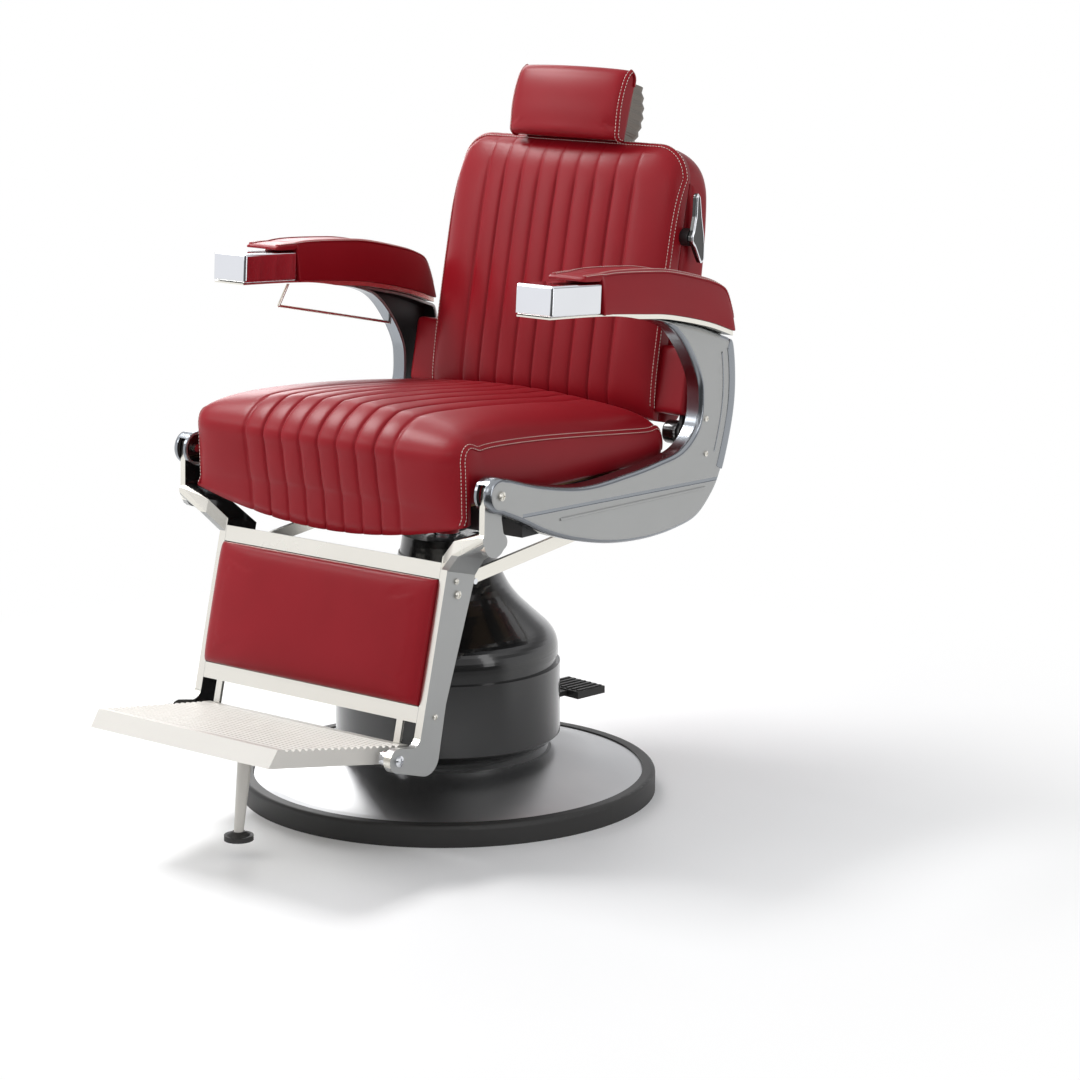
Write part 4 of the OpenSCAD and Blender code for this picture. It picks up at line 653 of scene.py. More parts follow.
def evenly(points, count):
    """Row numbers at equal steps of length along a smooth curve."""
    places = np.linspace(0, len(points) - 1, 40 * len(points))
    run = lengths(along(points, places))
    return np.interp(np.linspace(0, run[-1], count), run, places)


def finely(grid, i, j):
    """A smooth grid read at fractional rows i and columns j, by the same cubic both ways."""
    return np.swapaxes(along(np.swapaxes(along(grid, i), 0, 1), j), 0, 1)


def grid_of(x, y, z):
    """Three coordinates spread over one grid of points."""
    return np.stack(np.broadcast_arrays(x, y, z), axis=-1)


def face_grid(numbers):
    """Four-cornered faces over a grid of point numbers."""
    a, b, c, d = numbers[:-1, :-1], numbers[1:, :-1], numbers[1:, 1:], numbers[:-1, 1:]
    return np.stack([a, b, c, d], axis=-1).reshape(-1, 4)


def weld(grids):
    """The grids' points as one list without doubles, and each grid's numbers into that list."""
    rows = np.concatenate([grid.reshape(-1, 3) for grid in grids])
    _, first, back = np.unique(np.round(rows * 1e6).astype(np.int64), axis=0, return_index=True,
                               return_inverse=True)
    numbers = np.split(back.ravel(), np.cumsum([grid.shape[0] * grid.shape[1] for grid in grids])[:-1])
    return rows[first], [n.reshape(grid.shape[:2]) for n, grid in zip(numbers, grids)]


def whole_faces(numbers):
    """The faces over welded grids, as corners in one row and each face's count.

    A corner that repeats the one before it is dropped, and a face with under three different corners.
    """
    faces = np.concatenate([face_grid(n) for n in numbers])
    different = 1 + (np.diff(np.sort(faces, axis=1), axis=1) != 0).sum(axis=1)
    faces = faces[different > 2]
    kept = faces != np.roll(faces, 1, axis=1)
    return faces[kept], kept.sum(axis=1)


def build(name, points, faces, made_of):
    """A smooth mesh object with its faces turned outward, under its material."""
    mesh = faced(name, points, *faces)
    mesh.polygons.foreach_set("use_smooth", [True] * len(mesh.polygons))
    mesh.materials.append(made_of)
    return placed(name, mesh)


SWELL_STEPS = 20


def inflate(points, faces, held, push, cap):
    """Swells a closed skin with a short cloth simulation: held points stay, and none moves past the cap."""
    skin = build("swelling", points, faces, red_vinyl)
    group = skin.vertex_groups.new(name="held")
    group.add(np.flatnonzero(held).tolist(), 1.0, "REPLACE")
    cloth = skin.modifiers.new("swell", "CLOTH").settings
    cloth.quality = 6
    cloth.mass = 0.25
    cloth.tension_stiffness = cloth.compression_stiffness = 12
    cloth.shear_stiffness = 6
    cloth.bending_stiffness = 0.8
    cloth.use_pressure = True
    cloth.uniform_pressure_force = push
    cloth.vertex_group_mass = "held"
    cloth.effector_weights.gravity = 0
    for step in range(1, SWELL_STEPS + 1):
        scene.frame_set(step)
    seen = skin.evaluated_get(bpy.context.evaluated_depsgraph_get()).to_mesh()
    after = np.empty(len(points) * 3)
    seen.vertices.foreach_get("co", after)
    move = after.reshape(-1, 3) - points
    far = np.linalg.norm(move, axis=1, keepdims=True)
    scene.frame_set(1)
    bpy.data.objects.remove(skin)
    return points + move * np.minimum(1, cap / np.maximum(far, 1e-9))


def side_panel(outer_edge, inner_edge, rows, swell, out):
    """A panel ruled between two edges, at share t from outer to inner, and swelled by sin(pi t)^0.8.

    Where the edges are under 50 mm apart, the swell is smaller in the same measure.
    """
    t = np.linspace(0, 1, rows)[None, :, None]
    flat = outer_edge[:, None] * (1 - t) + inner_edge[:, None] * t
    wide = np.linalg.norm(outer_edge - inner_edge, axis=1)[:, None, None]
    return flat + np.array(out)[None, None] * swell * np.sin(np.pi * t) ** 0.8 * np.minimum(1, wide / 0.05)


def grid_normals(grid, outward):
    """Unit normals of a grid, the cross products of its slopes, on outward's side at its middle."""
    n = unit(np.cross(np.gradient(grid, axis=0), np.gradient(grid, axis=1)))
    return n if n[n.shape[0] // 2, n.shape[1] // 2] @ np.array(outward) > 0 else -n


def closed_form(outer, inner, rows, swell, out):
    """The six sides of a stuffed form: its skin, its base, two strips between them and two end panels."""
    strips = [np.stack([outer[:, k], inner[:, k]], axis=1) for k in (0, -1)]
    ends = [side_panel(outer[k], inner[k], rows, swell, sign * np.array(out))
            for k, sign in ((0, -1), (-1, 1))]
    return [outer, inner] + strips + ends


def held_edges(grid, rims=1):
    """Which points of a skin are sewn down: its first and last rows, and rims columns on each side."""
    hold = np.zeros(grid.shape[:2], bool)
    hold[[0, -1]] = True
    hold[:, :rims] = hold[:, -rims:] = True
    return hold


def stuffed(name, outer, inner, hold, push, cap, fine_i, fine_j, rows=4, swell=0.0, out=(1, 0, 0),
            shape=None):
    """A cushion between its skin and its base, and its skin as a fine grid.

    The closed form is swelled on a coarse grid, with the hold points sewn down, and read at the finer
    rows and columns. shape then moves the fine skin, and the end panels are stretched to meet it.
    """
    points, numbers = weld(closed_form(outer, inner, rows, swell, out))
    held = np.zeros(len(points), bool)
    held[numbers[0][hold]] = True
    held[numbers[1].ravel()] = True
    moved = inflate(points, whole_faces(numbers), held, push, cap)
    skin, base = finely(moved[numbers[0]], fine_i, fine_j), finely(moved[numbers[1]], fine_i, fine_j)
    if shape is not None:
        skin = shape(skin)
    cross = np.linspace(0, rows - 1, rows * 2 - 1)
    t = np.linspace(0, 1, len(cross))[None, :, None]
    panels = []
    for end, place in zip(numbers[4:], (0, -1)):
        panel = finely(moved[end], fine_j, cross)
        panel += (skin[place] - panel[:, 0])[:, None] * (1 - t) + (base[place] - panel[:, -1])[:, None] * t
        panel[:, 0], panel[:, -1] = skin[place], base[place]
        panels.append(panel)
    strips = [np.stack([skin[:, k], base[:, k]], axis=1) for k in (0, -1)]
    points, numbers = weld([skin, base] + strips + panels)
    return build(name, points, whole_faces(numbers), red_vinyl), skin


WELT_WIDTH = 0.008
WELT_HEIGHT = 0.0016
WELT_SINK = 0.002
# Half of the welt's profile: share of its width, share of its height.
WELT_PROFILE = ((0.48, 0.45), (0.3, 0.9))
STITCH_LENGTH = 0.0042
STITCH_PITCH = 0.0054
STITCH_THICK = 0.00048
STITCH_SIDES = 5


def across_path(path, normals):
    """Unit vectors square to a path, in the surface that the path lies on."""
    return unit(np.cross(unit(np.gradient(path, axis=0)), normals))


def welt_mesh(name, path, normals, width):
    """A closed, raised and rounded strip along a path: path + side u width + normal v at profile (u, v)."""
    left = [(-u, v * WELT_HEIGHT) for u, v in WELT_PROFILE]
    right = [(u, v * WELT_HEIGHT) for u, v in reversed(WELT_PROFILE)]
    across = np.array([(-0.5, -WELT_SINK)] + left + [(0, WELT_HEIGHT)] + right
                      + [(0.5, -WELT_SINK), (-0.5, -WELT_SINK)])
    grid = (path[:, None] + across_path(path, normals)[:, None] * across[None, :, :1] * width
            + normals[:, None] * across[None, :, 1:])
    points, (numbers,) = weld([grid])
    walls = face_grid(numbers)
    caps = numbers[[0, -1], :-1]
    return build(name, points, (np.concatenate([walls.ravel(), caps.ravel()]),
                                np.append(np.full(len(walls), 4), [caps.shape[1]] * 2)), red_vinyl)


def thread_mesh(name, rows):
    """Sewing thread along each row of (path, normals): short rounded stitches at equal steps.

    A stitch is two rings of points, ring + thick (cos t side + (sin t + 0.3) up), and a point at each end.
    """
    turn = np.linspace(0, 2 * np.pi, STITCH_SIDES, endpoint=False)[None, :, None]
    stitches = []
    for path, normals in rows:
        run = lengths(path)
        start = np.arange(STITCH_PITCH / 2, run[-1] - STITCH_LENGTH, STITCH_PITCH)
        a, b, c, d = [read_at(start + share * STITCH_LENGTH, run, path) for share in (0, 0.25, 0.75, 1)]
        up = unit(read_at(start + STITCH_LENGTH / 2, run, normals))
        side = np.cross(unit(d - a), up)
        ring = STITCH_THICK * (np.cos(turn) * side[:, None] + (np.sin(turn) + 0.3) * up[:, None])
        low = up * STITCH_THICK * 0.6
        stitches.append(np.concatenate([(a - low)[:, None], b[:, None] + ring, c[:, None] + ring,
                                        (d - low)[:, None]], axis=1))
    points = np.concatenate(stitches)
    k = np.arange(STITCH_SIDES)
    m, tip = (k + 1) % STITCH_SIDES, np.full(STITCH_SIDES, points.shape[1] - 1)
    b, c, after_b, after_c = 1 + k, 1 + STITCH_SIDES + k, 1 + m, 1 + STITCH_SIDES + m
    one = np.stack([0 * k, after_b, b, b, after_b, after_c, c, tip, c, after_c], axis=1).ravel()
    corners = np.arange(len(points))[:, None] * points.shape[1] + one
    counts = np.tile([3, 4, 3], len(points) * STITCH_SIDES)
    return build(name, points.reshape(-1, 3), (corners.ravel(), counts), thread_white)


def welted(name, body, path, normals, width=WELT_WIDTH):
    """A welt along a path, with a row of stitches down each of its edges."""
    side = across_path(path, normals)
    welt = welt_mesh(name + "_welt", path, normals, width)
    thread = thread_mesh(name + "_thread", [(path + side * width * share + normals * 0.0011, normals)
                                            for share in (-0.42, 0.42)])
    for piece in (welt, thread):
        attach(piece, body)


def side_welt(name, body, edge, count, ends, lean, face, share, width=WELT_WIDTH):
    """A welt round a cushion's side panel, which leans out by lean and by share toward face."""
    path = along(edge, evenly(edge, count)[ends])
    away = np.cross(unit(np.gradient(path, axis=0)), (1.0, 0, 0))
    if away[len(away) // 2] @ np.array(face) < 0:
        away = -away
    welted(name, body, path, unit(away * share + np.array([lean, 0, 0])), width)


CHANNEL_HALF = 0.150
CHANNEL_PITCH = 0.0375
CHANNEL_SEAMS = np.arange(-4, 5) * CHANNEL_PITCH
SEAM_DEPTH = 0.0042
# A seam's crease and the pillow beside it: share of the depth, reach.
SEAM_CREASE = (0.75, 0.0015)
SEAM_PILLOW = (0.34, 0.0187)
# How near its side a cushion's columns stay free, and over what width they come back to straight.
SEAM_FREE = (0.02, 0.03)


def stations(half, per_channel):
    """Places across a channelled cushion, an equal count to each channel and closer at its edges."""
    side = half - (half - CHANNEL_HALF) * np.linspace(0, 1, per_channel * 2 + 1) ** 1.6
    return np.concatenate([-side[:-1], np.linspace(-CHANNEL_HALF, CHANNEL_HALF, 8 * per_channel + 1),
                           side[:-1][::-1]])


def from_seam(x):
    """The distance from x to the nearest channel seam."""
    return np.abs(x[:, None] - CHANNEL_SEAMS[None]).min(axis=1)


def held_seams(grid, xs):
    """Which points of a channelled skin are sewn down: its edges, and the columns on its seams."""
    hold = held_edges(grid)
    hold[from_seam(xs) < 1e-6] = True
    return hold


def sewn(grid, half, outward, fade):
    """A channelled skin with its seams sewn in, straight and square to its surface.

    Each column is brought back to its own distance across. At the distance off a seam the skin then
    sinks by crease exp(-off / reach) + pillow (1 - off / reach)^2 of the depth, times fade along it.
    """
    across = grid[:, grid.shape[1] // 2, 0]
    straight = np.clip((half - SEAM_FREE[0] - np.abs(across)) / SEAM_FREE[1], 0, 1)[:, None]
    grid = grid.copy()
    grid[..., 0] += straight * (across[:, None] - grid[..., 0])
    off = from_seam(across)
    crease = SEAM_CREASE[0] * np.exp(-off / SEAM_CREASE[1])
    pillow = SEAM_PILLOW[0] * np.clip(1 - off / SEAM_PILLOW[1], 0, 1) ** 2
    sink = SEAM_DEPTH * (crease + pillow)
    fade = np.interp(np.arange(grid.shape[1]), *fade)
    return grid - grid_normals(grid, outward) * (sink[:, None] * fade[None])[..., None]


SEAT_HALF = 0.267
SEAT_FRONT = -0.291
SEAT_LENGTH = 0.490
SEAT_FOOT = 0.532
SEAT_HEIGHT = 0.085
SEAT_CROWN = 0.022
APRON = 0.034
APRON_DROP = 0.020
APRON_BOW = 0.036
DECK = 0.520
# The skin's profile from its rear foot to the apron: share of the length, share of the height, crown.
SEAT_SHARES = np.array([
    (1, 0.02, 0), (1.01, 0.35, 0), (0.985, 0.72, 0.4), (0.93, 0.87, 1), (0.78, 0.95, 1), (0.6, 1.05, 1),
    (0.42, 1.14, 1), (0.25, 1.2, 1), (0.13, 1.21, 1), (0.045, 1.13, 1), (0, 0.88, 1), (0.004, 0.55, 0.9),
    (0.012, 0.1, 0.8), (0.02, -0.2, 0.6)])
SEAT_BASE = np.array([
    0.985, 0.975, 0.95, 0.9, 0.76, 0.59, 0.42, 0.27, 0.17, 0.11, 0.08, 0.0694, 0.0694, 0.0694])
# How deep the seams are along the skin's 150 columns: shallow at the rear foot, easing at the hem.
SEAT_FADE = ((0, 14, 26, 120, 149), (0, 0.2, 1, 1, 0.75))


def seat_grids(xs, rows):
    """The seat's skin and base at x across and fractional rows along its profile.

    y = front + s L - push, z = foot + h H + lift, with the crown k = 1 - (x / half)^2 and the edge's
    roll exp(-11 t), t the share of the way from the edge to the first seam: lift = crown (k - roll),
    push = crown (0.3 k - 0.8 roll), on the nose alone. The hem bows down by 36 mm k, and the base is
    flat to the apron and falls behind it.
    """
    s, x = along(SEAT_SHARES, rows)[None], xs[:, None]
    k = 1 - (x / SEAT_HALF) ** 2
    roll = np.exp(-11 * (SEAT_HALF - np.abs(x)) / (SEAT_HALF - CHANNEL_HALF))
    nose = np.clip(1 - s[..., 0] * 10, 0, 1)
    lift = s[..., 2] * SEAT_CROWN * (k - roll)
    push = s[..., 2] * SEAT_CROWN * (0.3 * k - 0.8 * roll)
    y = SEAT_FRONT + s[..., 0] * SEAT_LENGTH - push * nose
    z = SEAT_FOOT + s[..., 1] * SEAT_HEIGHT + lift * (1 - nose)
    skin_y = np.concatenate([y, 0 * x + SEAT_FRONT + APRON * 0.3], axis=1)
    skin_z = np.concatenate([z, DECK - APRON_DROP - APRON_BOW * k], axis=1)
    length = along(SEAT_BASE[:, None], rows)[:, 0]
    corner = int(np.argmax(length <= SEAT_BASE[-1] + 1e-4))
    length = np.append(length, length[-1])
    fall = np.concatenate([np.zeros(corner), np.linspace(0, 1, len(length) - corner)])
    base_z = SEAT_FOOT - fall * (SEAT_FOOT - DECK + (APRON_DROP + APRON_BOW * k) * 0.9)
    return grid_of(x, skin_y, skin_z), grid_of(x, SEAT_FRONT + length * SEAT_LENGTH, base_z)


rows = evenly(SEAT_SHARES * (SEAT_LENGTH, SEAT_HEIGHT, 0), 56)
across = stations(SEAT_HALF, 4)
skin, base = seat_grids(across, rows)
seat, seat_skin = stuffed(
    "seat_cushion_skin", skin, base, held_seams(skin, across), push=4.0, cap=0.009,
    fine_i=np.linspace(0, len(across) - 1, 321), fine_j=np.linspace(0, len(rows), 150), rows=9, swell=0.006,
    shape=lambda grid: sewn(grid, SEAT_HALF, (0, 0, 1), SEAT_FADE))
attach(seat, "chair_frame")
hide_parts("seat_cushion")
for name, place, out in (("seat_left", -1, 1), ("seat_right", 0, -1)):
    side_welt(name, "chair_frame", seat_skin[place], 260, slice(6, -1), lean=out * 0.75, face=(0, 0, 1),
              share=0.66)

# Arms
# Chrome boxes at the front, red pads with a lip over the box and a stitched welt along both top
# edges, nickelled steel plates under them, and the wire towel bar under the right arm.

EASED_FROM = 30
EASED_CRISP = 40
MERGED_UNDER = 0.8


def eased(node, body, made_of, width):
    """A copy of a CAD node, merged and with its edges eased by a small bevel, standing for the node."""
    made = placed(node + "_eased", bpy.data.meshes.new(node + "_eased"))
    form = bmesh.new()
    form.from_mesh(nodes[node].data)
    bmesh.ops.remove_doubles(form, verts=form.verts, dist=2e-5)
    bmesh.ops.dissolve_limit(form, angle_limit=math.radians(MERGED_UNDER), verts=form.verts, edges=form.edges)
    form.to_mesh(made.data)
    form.free()
    made.data.materials.append(made_of)
    bpy.context.view_layer.objects.active = made
    soft = made.modifiers.new("bevel", "BEVEL")
    soft.width, soft.segments = width, 2
    soft.limit_method, soft.angle_limit = "ANGLE", math.radians(EASED_FROM)
    bpy.ops.object.modifier_apply(modifier=soft.name)
    crisp(made, EASED_CRISP)
    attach(made, body)
    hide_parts(node)
    return made


for side in ("left", "right"):
    eased("arm_box_" + side, "chair_frame", chrome, 0.0012)
finish("towel_bar", bright_nickel)

ARM_X = 0.307
ARM_WIDTH = 0.070
PLATE_HALF = 0.0312
PLATE_EASED = 0.0007
PLATE_END = 0.953
# The plate is thin at the front and thickens from here, over this length, to where the frame takes it.
PLATE_THIN = 0.0026
PLATE_MORE = 0.0044
PLATE_GROWS = (-0.02, 0.07)

plate_y = np.linspace(ARM_FRONT + 0.0005, ARM_FRONT + ARM_LENGTH * PLATE_END, 90)
plate_top = under_arm(plate_y)
grown = np.clip((plate_y - PLATE_GROWS[0]) / PLATE_GROWS[1], 0, 1)
thick = PLATE_THIN + PLATE_MORE * grown ** 2
plate_ring = np.concatenate([np.stack([plate_y, plate_top - thick], axis=1),
                             np.stack([plate_y, plate_top], axis=1)[::-1]])
plate_x = ARM_X + np.array([-PLATE_HALF, PLATE_EASED - PLATE_HALF, PLATE_HALF - PLATE_EASED, PLATE_HALF])
for side, sign in (("left", 1), ("right", -1)):
    plate = cast("arm_plate_thin_" + side, plate_ring, [(sign * x, 0, 0) for x in plate_x], bright_nickel)
    crisp(plate)
    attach(plate, "chair_frame")
    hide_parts("arm_plate_" + side)

PAD_START = -0.0413
PAD_END = ARM_FRONT + ARM_LENGTH * 0.96
# The pad from its lip over the box to its rear end: share of the length, then its top, half width
# and foot over the arm's line as shares of the width.
PAD_SHARES = np.array([
    (-0.14, 0.764, 0.9, 0.72), (-0.13, 0.795, 0.95, 0.707), (-0.08, 0.823, 0.985, 0.707),
    (-0.012, 0.843, 1, 0.707), (0, 0.85, 1, 0.69), (0.006, 0.857, 1, 0.2), (0.02, 0.862, 1, 0.009),
    (0.1, 0.9, 1, 0.009),
    (0.3, 0.943, 1, 0.009), (0.5, 0.957, 1, 0.009), (0.7, 0.95, 1, 0.009), (0.82, 0.942, 1, 0.009),
    (0.89, 0.915, 1, 0.009), (0.925, 0.86, 1, 0.009), (0.95, 0.7, 1, 0.009), (0.978, 0.42, 0.99, 0.009),
    (0.993, 0.2, 0.97, 0.009), (1, 0.1, 0.95, 0.02)])
# The pad's section from foot to foot: share of the half width, share of the height.
PAD_SECTION = np.array([
    (-0.97, 0), (-1, 0.1), (-1.0, 0.4), (-0.995, 0.7), (-0.95, 0.93), (-0.82, 1.0), (-0.4, 1.01), (0, 1.015),
    (0.4, 1.01), (0.82, 1.0), (0.95, 0.93), (0.995, 0.7), (1.0, 0.4), (1, 0.1), (0.97, 0)])


def pad_grids(sign, rows):
    """The arm pad's skin, from its inner foot over the top to its outer foot, and its base.

    At row s, x = arm + half width u and z = foot + (top - foot) v over the section's (u, v).
    """
    s = along(PAD_SHARES, rows)
    y = PAD_START + s[:, 0] * (PAD_END - PAD_START)
    foot = under_arm(y)
    low, top, half = foot + s[:, 3] * ARM_WIDTH, foot + s[:, 1] * ARM_WIDTH, ARM_WIDTH / 2 * s[:, 2]
    y, low, tall, half = y[:, None], low[:, None], (top - low)[:, None], half[:, None]
    flat = np.linspace(-0.97, 0.97, len(PAD_SECTION))[None]
    return (grid_of(sign * (ARM_X + half * PAD_SECTION[None, :, 0]), y, low + tall * PAD_SECTION[None, :, 1]),
            grid_of(sign * ARM_X + sign * half * flat, y, low))


rows = evenly(PAD_SHARES * (ARM_LENGTH, ARM_WIDTH, 0, 0), 72)
for side, sign in (("left", 1), ("right", -1)):
    skin, base = pad_grids(sign, rows)
    hold = np.zeros(skin.shape[:2], bool)
    hold[:, [0, 5, 9, 14]] = True
    hold[:2] = hold[-1] = True
    pad, skin = stuffed("arm_cushion_" + side, skin, base, hold, push=3.0, cap=0.004, out=(0, 1, 0),
                        fine_i=np.linspace(0, len(rows) - 1, 220), fine_j=np.linspace(0, 14, 71))
    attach(pad, "chair_frame")
    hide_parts("arm_pad_" + side)
    normals = grid_normals(skin, (0, 0, 1))
    for edge, column in (("inner", 25), ("outer", 46)):
        welted("arm_" + side + "_" + edge, "chair_frame", skin[4:-6, column], normals[4:-6, column])

# Back
# A channelled cushion in front, welted round its edge, on a deep plain case that wraps the board.
# Steel ears under upholstered wings turn on the frames' hinge pins, and the lever is on the left.

BACK_LEAN = math.radians(12.0)
BACK_HALF = 0.227
BACK_HEIGHT = 0.444
BACK_PAD = 0.038
BACK_DEPTH = 0.075
BACK_CORNER = 0.055
BACK_CROWN = 0.018
CASE_EDGE = 0.018
CASE_DRAWN = 0.2
# The skin's profile from its foot to its top edge: share of the pad's thickness, share of the
# height, crown. The case's has no crown.
BACK_SHARES = np.array([
    (0.1, 0.03, 0.2), (0.5, 0.035, 0.6), (0.82, 0.09, 1), (0.95, 0.2, 1), (1, 0.4, 1), (1, 0.6, 1),
    (0.97, 0.76, 1), (0.86, 0.88, 1), (0.66, 0.955, 0.8), (0.5, 0.985, 0.45), (0.4, 0.998, 0.2)])
CASE_SHARES = np.array([
    (0, 0.03), (0.6, 0.03), (0.85, 0.06), (0.96, 0.13), (1, 0.3), (1, 0.55), (0.93, 0.72), (0.8, 0.88),
    (0.68, 0.945), (0.5, 0.98), (0.2, 0.995), (-0.19, 0.998)])
# How deep the seams are along the skin's 150 columns, fading under the top welt.
BACK_FADE = ((0, 6, 122, 136, 149), (0.6, 1, 1, 0.3, 0.1))


def leaned(points, place, lean):
    """Points across, back and up from place, in a plane that leans back from upright by lean."""
    c, s = math.cos(lean), math.sin(lean)
    x, back, up = points[..., 0], points[..., 1], points[..., 2]
    return place + np.stack([x, back * c + up * s, up * c - back * s], axis=-1)


def back_height(x, share):
    """Height at x and a share of the full height, under top corners that fall away on a circle."""
    over = np.clip(np.abs(x) - (BACK_HALF - BACK_CORNER), 0, BACK_CORNER)
    drop = BACK_CORNER - np.sqrt(np.maximum(0, BACK_CORNER ** 2 - over ** 2))
    return share * BACK_HEIGHT - drop * np.clip((share - 0.5) / 0.5, 0, 1) ** 1.5


def back_grids(xs, rows):
    """The back's front skin, from its foot to its top edge, and the flat behind it.

    forward = s P + crown (k - 0.55 roll), with k = 1 - (x / half)^2 and the edge's roll exp(-9 t), t
    the share of the way from the edge to the first seam.
    """
    s, x = along(BACK_SHARES, rows)[None], xs[:, None]
    k = 1 - (x / BACK_HALF) ** 2
    roll = np.exp(-9 * (BACK_HALF - np.abs(x)) / (BACK_HALF - CHANNEL_HALF))
    forward = s[..., 0] * BACK_PAD + s[..., 2] * BACK_CROWN * (k - 0.55 * roll)
    up = back_height(x, s[..., 1])
    return (leaned(grid_of(x, -forward, up), BACK_PIVOT, BACK_LEAN),
            leaned(grid_of(x, -0.0005, up), BACK_PIVOT, BACK_LEAN))


def case_grids(xs, rows):
    """The case's rear skin and the flat in front of it.

    Its depth is s D, drawn in by a share of it on a circle along each side's edge.
    """
    s, x = along(CASE_SHARES, rows)[None], xs[:, None]
    edge = np.clip((np.abs(x) - (BACK_HALF - CASE_EDGE)) / CASE_EDGE, 0, 1)
    drawn = 1 - CASE_DRAWN * (1 - np.sqrt(np.maximum(0, 1 - edge ** 2)))
    up = back_height(x, s[..., 1])
    deep = np.where(s[..., 0] > 0.2, s[..., 0] * drawn, s[..., 0]) * BACK_DEPTH
    return (leaned(grid_of(x, deep, up), BACK_PIVOT, BACK_LEAN),
            leaned(grid_of(x, 0.0004, up), BACK_PIVOT, BACK_LEAN))


rows = evenly(BACK_SHARES * (BACK_PAD, BACK_HEIGHT, 0), 56)
across = stations(BACK_HALF - 0.0003, 4)
skin, base = back_grids(across, rows)
back, back_skin = stuffed(
    "back_cushion_skin", skin, base, held_seams(skin, across), push=4.0, cap=0.008,
    fine_i=np.linspace(0, len(across) - 1, 321), fine_j=np.linspace(0, len(rows) - 1, 150),
    shape=lambda grid: sewn(grid, BACK_HALF, (0, -1, 0), BACK_FADE))
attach(back, "backrest")
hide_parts("back_cushion")
edge = np.concatenate([back_skin[0], back_skin[1:-1, -1], back_skin[-1, ::-1]])
path = along(edge, evenly(edge, 620)[14:-14])
forward = leaned(np.array([0, -1.0, 0]), BACK_PIVOT, BACK_LEAN) - BACK_PIVOT
outward = np.cross(unit(np.gradient(path, axis=0)), forward)
if outward[len(outward) // 2, 2] < 0:
    outward = -outward
welted("back", "backrest", path, unit(outward * 0.7 + forward * 0.7))

across = np.sin(np.linspace(-np.pi / 2, np.pi / 2, 97)) * BACK_HALF
skin, base = case_grids(across, evenly(CASE_SHARES * (BACK_DEPTH, BACK_HEIGHT), 120))
points, numbers = weld(closed_form(skin, base, 3, 0.0, (1, 0, 0)))
case = build("back_case", points, whole_faces(numbers), red_vinyl)
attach(case, "backrest")
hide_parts("back_shell")

HUB_RADIUS = 0.0188
HUB_LENGTH = 0.025
HUB_LEFT = 0.2485
HUB_EASED = 0.004

gloss_black = grained("gloss_black", (18, 18, 18), spread=6, rough=0.16, wander=0.03, metallic=0, grain=500,
                      depth=0.0001, coat=0.4)
finish("back_link_bar", bright_nickel)
eased("back_ears", "backrest", black_steel, 0.001)
for name, x in (("hub_cap_left", HUB_LEFT), ("hub_cap_right", -HUB_LEFT - HUB_LENGTH)):
    cap = drum(name, x, BACK_PIVOT[1:], HUB_RADIUS, HUB_LENGTH, gloss_black, 72, HUB_EASED)
    crisp(cap)
    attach(cap, "backrest")

# Corners of the wing, back and up from the hinge.
WING_BOX = np.array([(-0.016, 0.026), (0.054, 0.026), (0.066, 0.070), (0.060, 0.134), (-0.016, 0.134)])
WING_X = (0.214, 0.285)
WING_ROUND = 0.009

wing_ring = softened(even_ring(WING_BOX, 0.003), 10)
wing_ring = leaned(np.column_stack([0 * wing_ring[:, 0], wing_ring]), BACK_PIVOT, BACK_LEAN)[:, 1:]
wing_edge = [(x, inset, 0) for x, inset in quarter_round(WING_X[1], WING_ROUND)]
wing = cast("back_wing_left", wing_ring,
            [(WING_X[0], 0, 0)] + wing_edge + [(WING_X[1] + 0.0006, 2 * WING_ROUND, 0)], red_vinyl)
crisp(wing, 50)
for part in (wing, mirrored(wing, "back_wing_right")):
    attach(part, "backrest")

LEVER_PLACE = np.array([0.2435, 0.312, 0.868])
LEVER_TURN = 6
# The lever's outline round its screw, back and up.
PADDLE = np.array([
    (-0.007, 0.0125), (0.001, 0.034), (0.0062, 0.064), (0.0112, 0.0693), (0.0163, 0.062), (0.0172, 0.030),
    (0.0198, 0.0), (0.0195, -0.016), (0.0165, -0.037), (0.0112, -0.0425), (0.0062, -0.0415), (0.002, -0.034),
    (-0.007, -0.013), (-0.0135, -0.004), (-0.0126, 0.004)])
# From the lever's back, over its chromed edge, to its sunk face: out, inset, finish.
PADDLE_LEVELS = ((0, 0.001, 0), (0.001, 0, 0), (0.0072, 0, 0), (0.0082, 0.0005, 1), (0.009, 0.0016, 1),
                 (0.009, 0.0032, 1), (0.0084, 0.0038, 0))

paddle = turned_by(softened(even_ring(PADDLE, 0.0012), 3), LEVER_TURN) + LEVER_PLACE[1:]
paddle_levels = [(LEVER_PLACE[0] + x, inset, number) for x, inset, number in PADDLE_LEVELS]
handle = cast("recline_paddle", paddle, paddle_levels, gloss_black, chrome)
crisp(handle)
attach(handle, "lever")
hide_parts("recline_lever")

# Headrest
# A plump pad with welted ends on a ribbed metal housing, which tilts on a flat chrome stem. The stem
# slides in a guide inside the back.

HEAD_HALF = 0.108
HEAD_HEIGHT = 0.111
HEAD_THICK = 0.030
HEAD_PLACE = np.array([0, 0.281, 1.017])
HEAD_LEAN = math.radians(17.0)
HEAD_CROWN = 0.008
HEAD_EDGE = 0.006
# The skin from its rear foot round the front to its rear top: share of the thickness, of the height.
HEAD_SHARES = np.array([
    (0.92, 0.03), (0.5, 0.01), (0.12, 0.05), (0, 0.2), (-0.12, 0.4), (-0.14, 0.6), (-0.06, 0.8), (0.1, 0.95),
    (0.35, 1.02), (0.7, 1.01), (0.95, 0.93), (1, 0.8)])


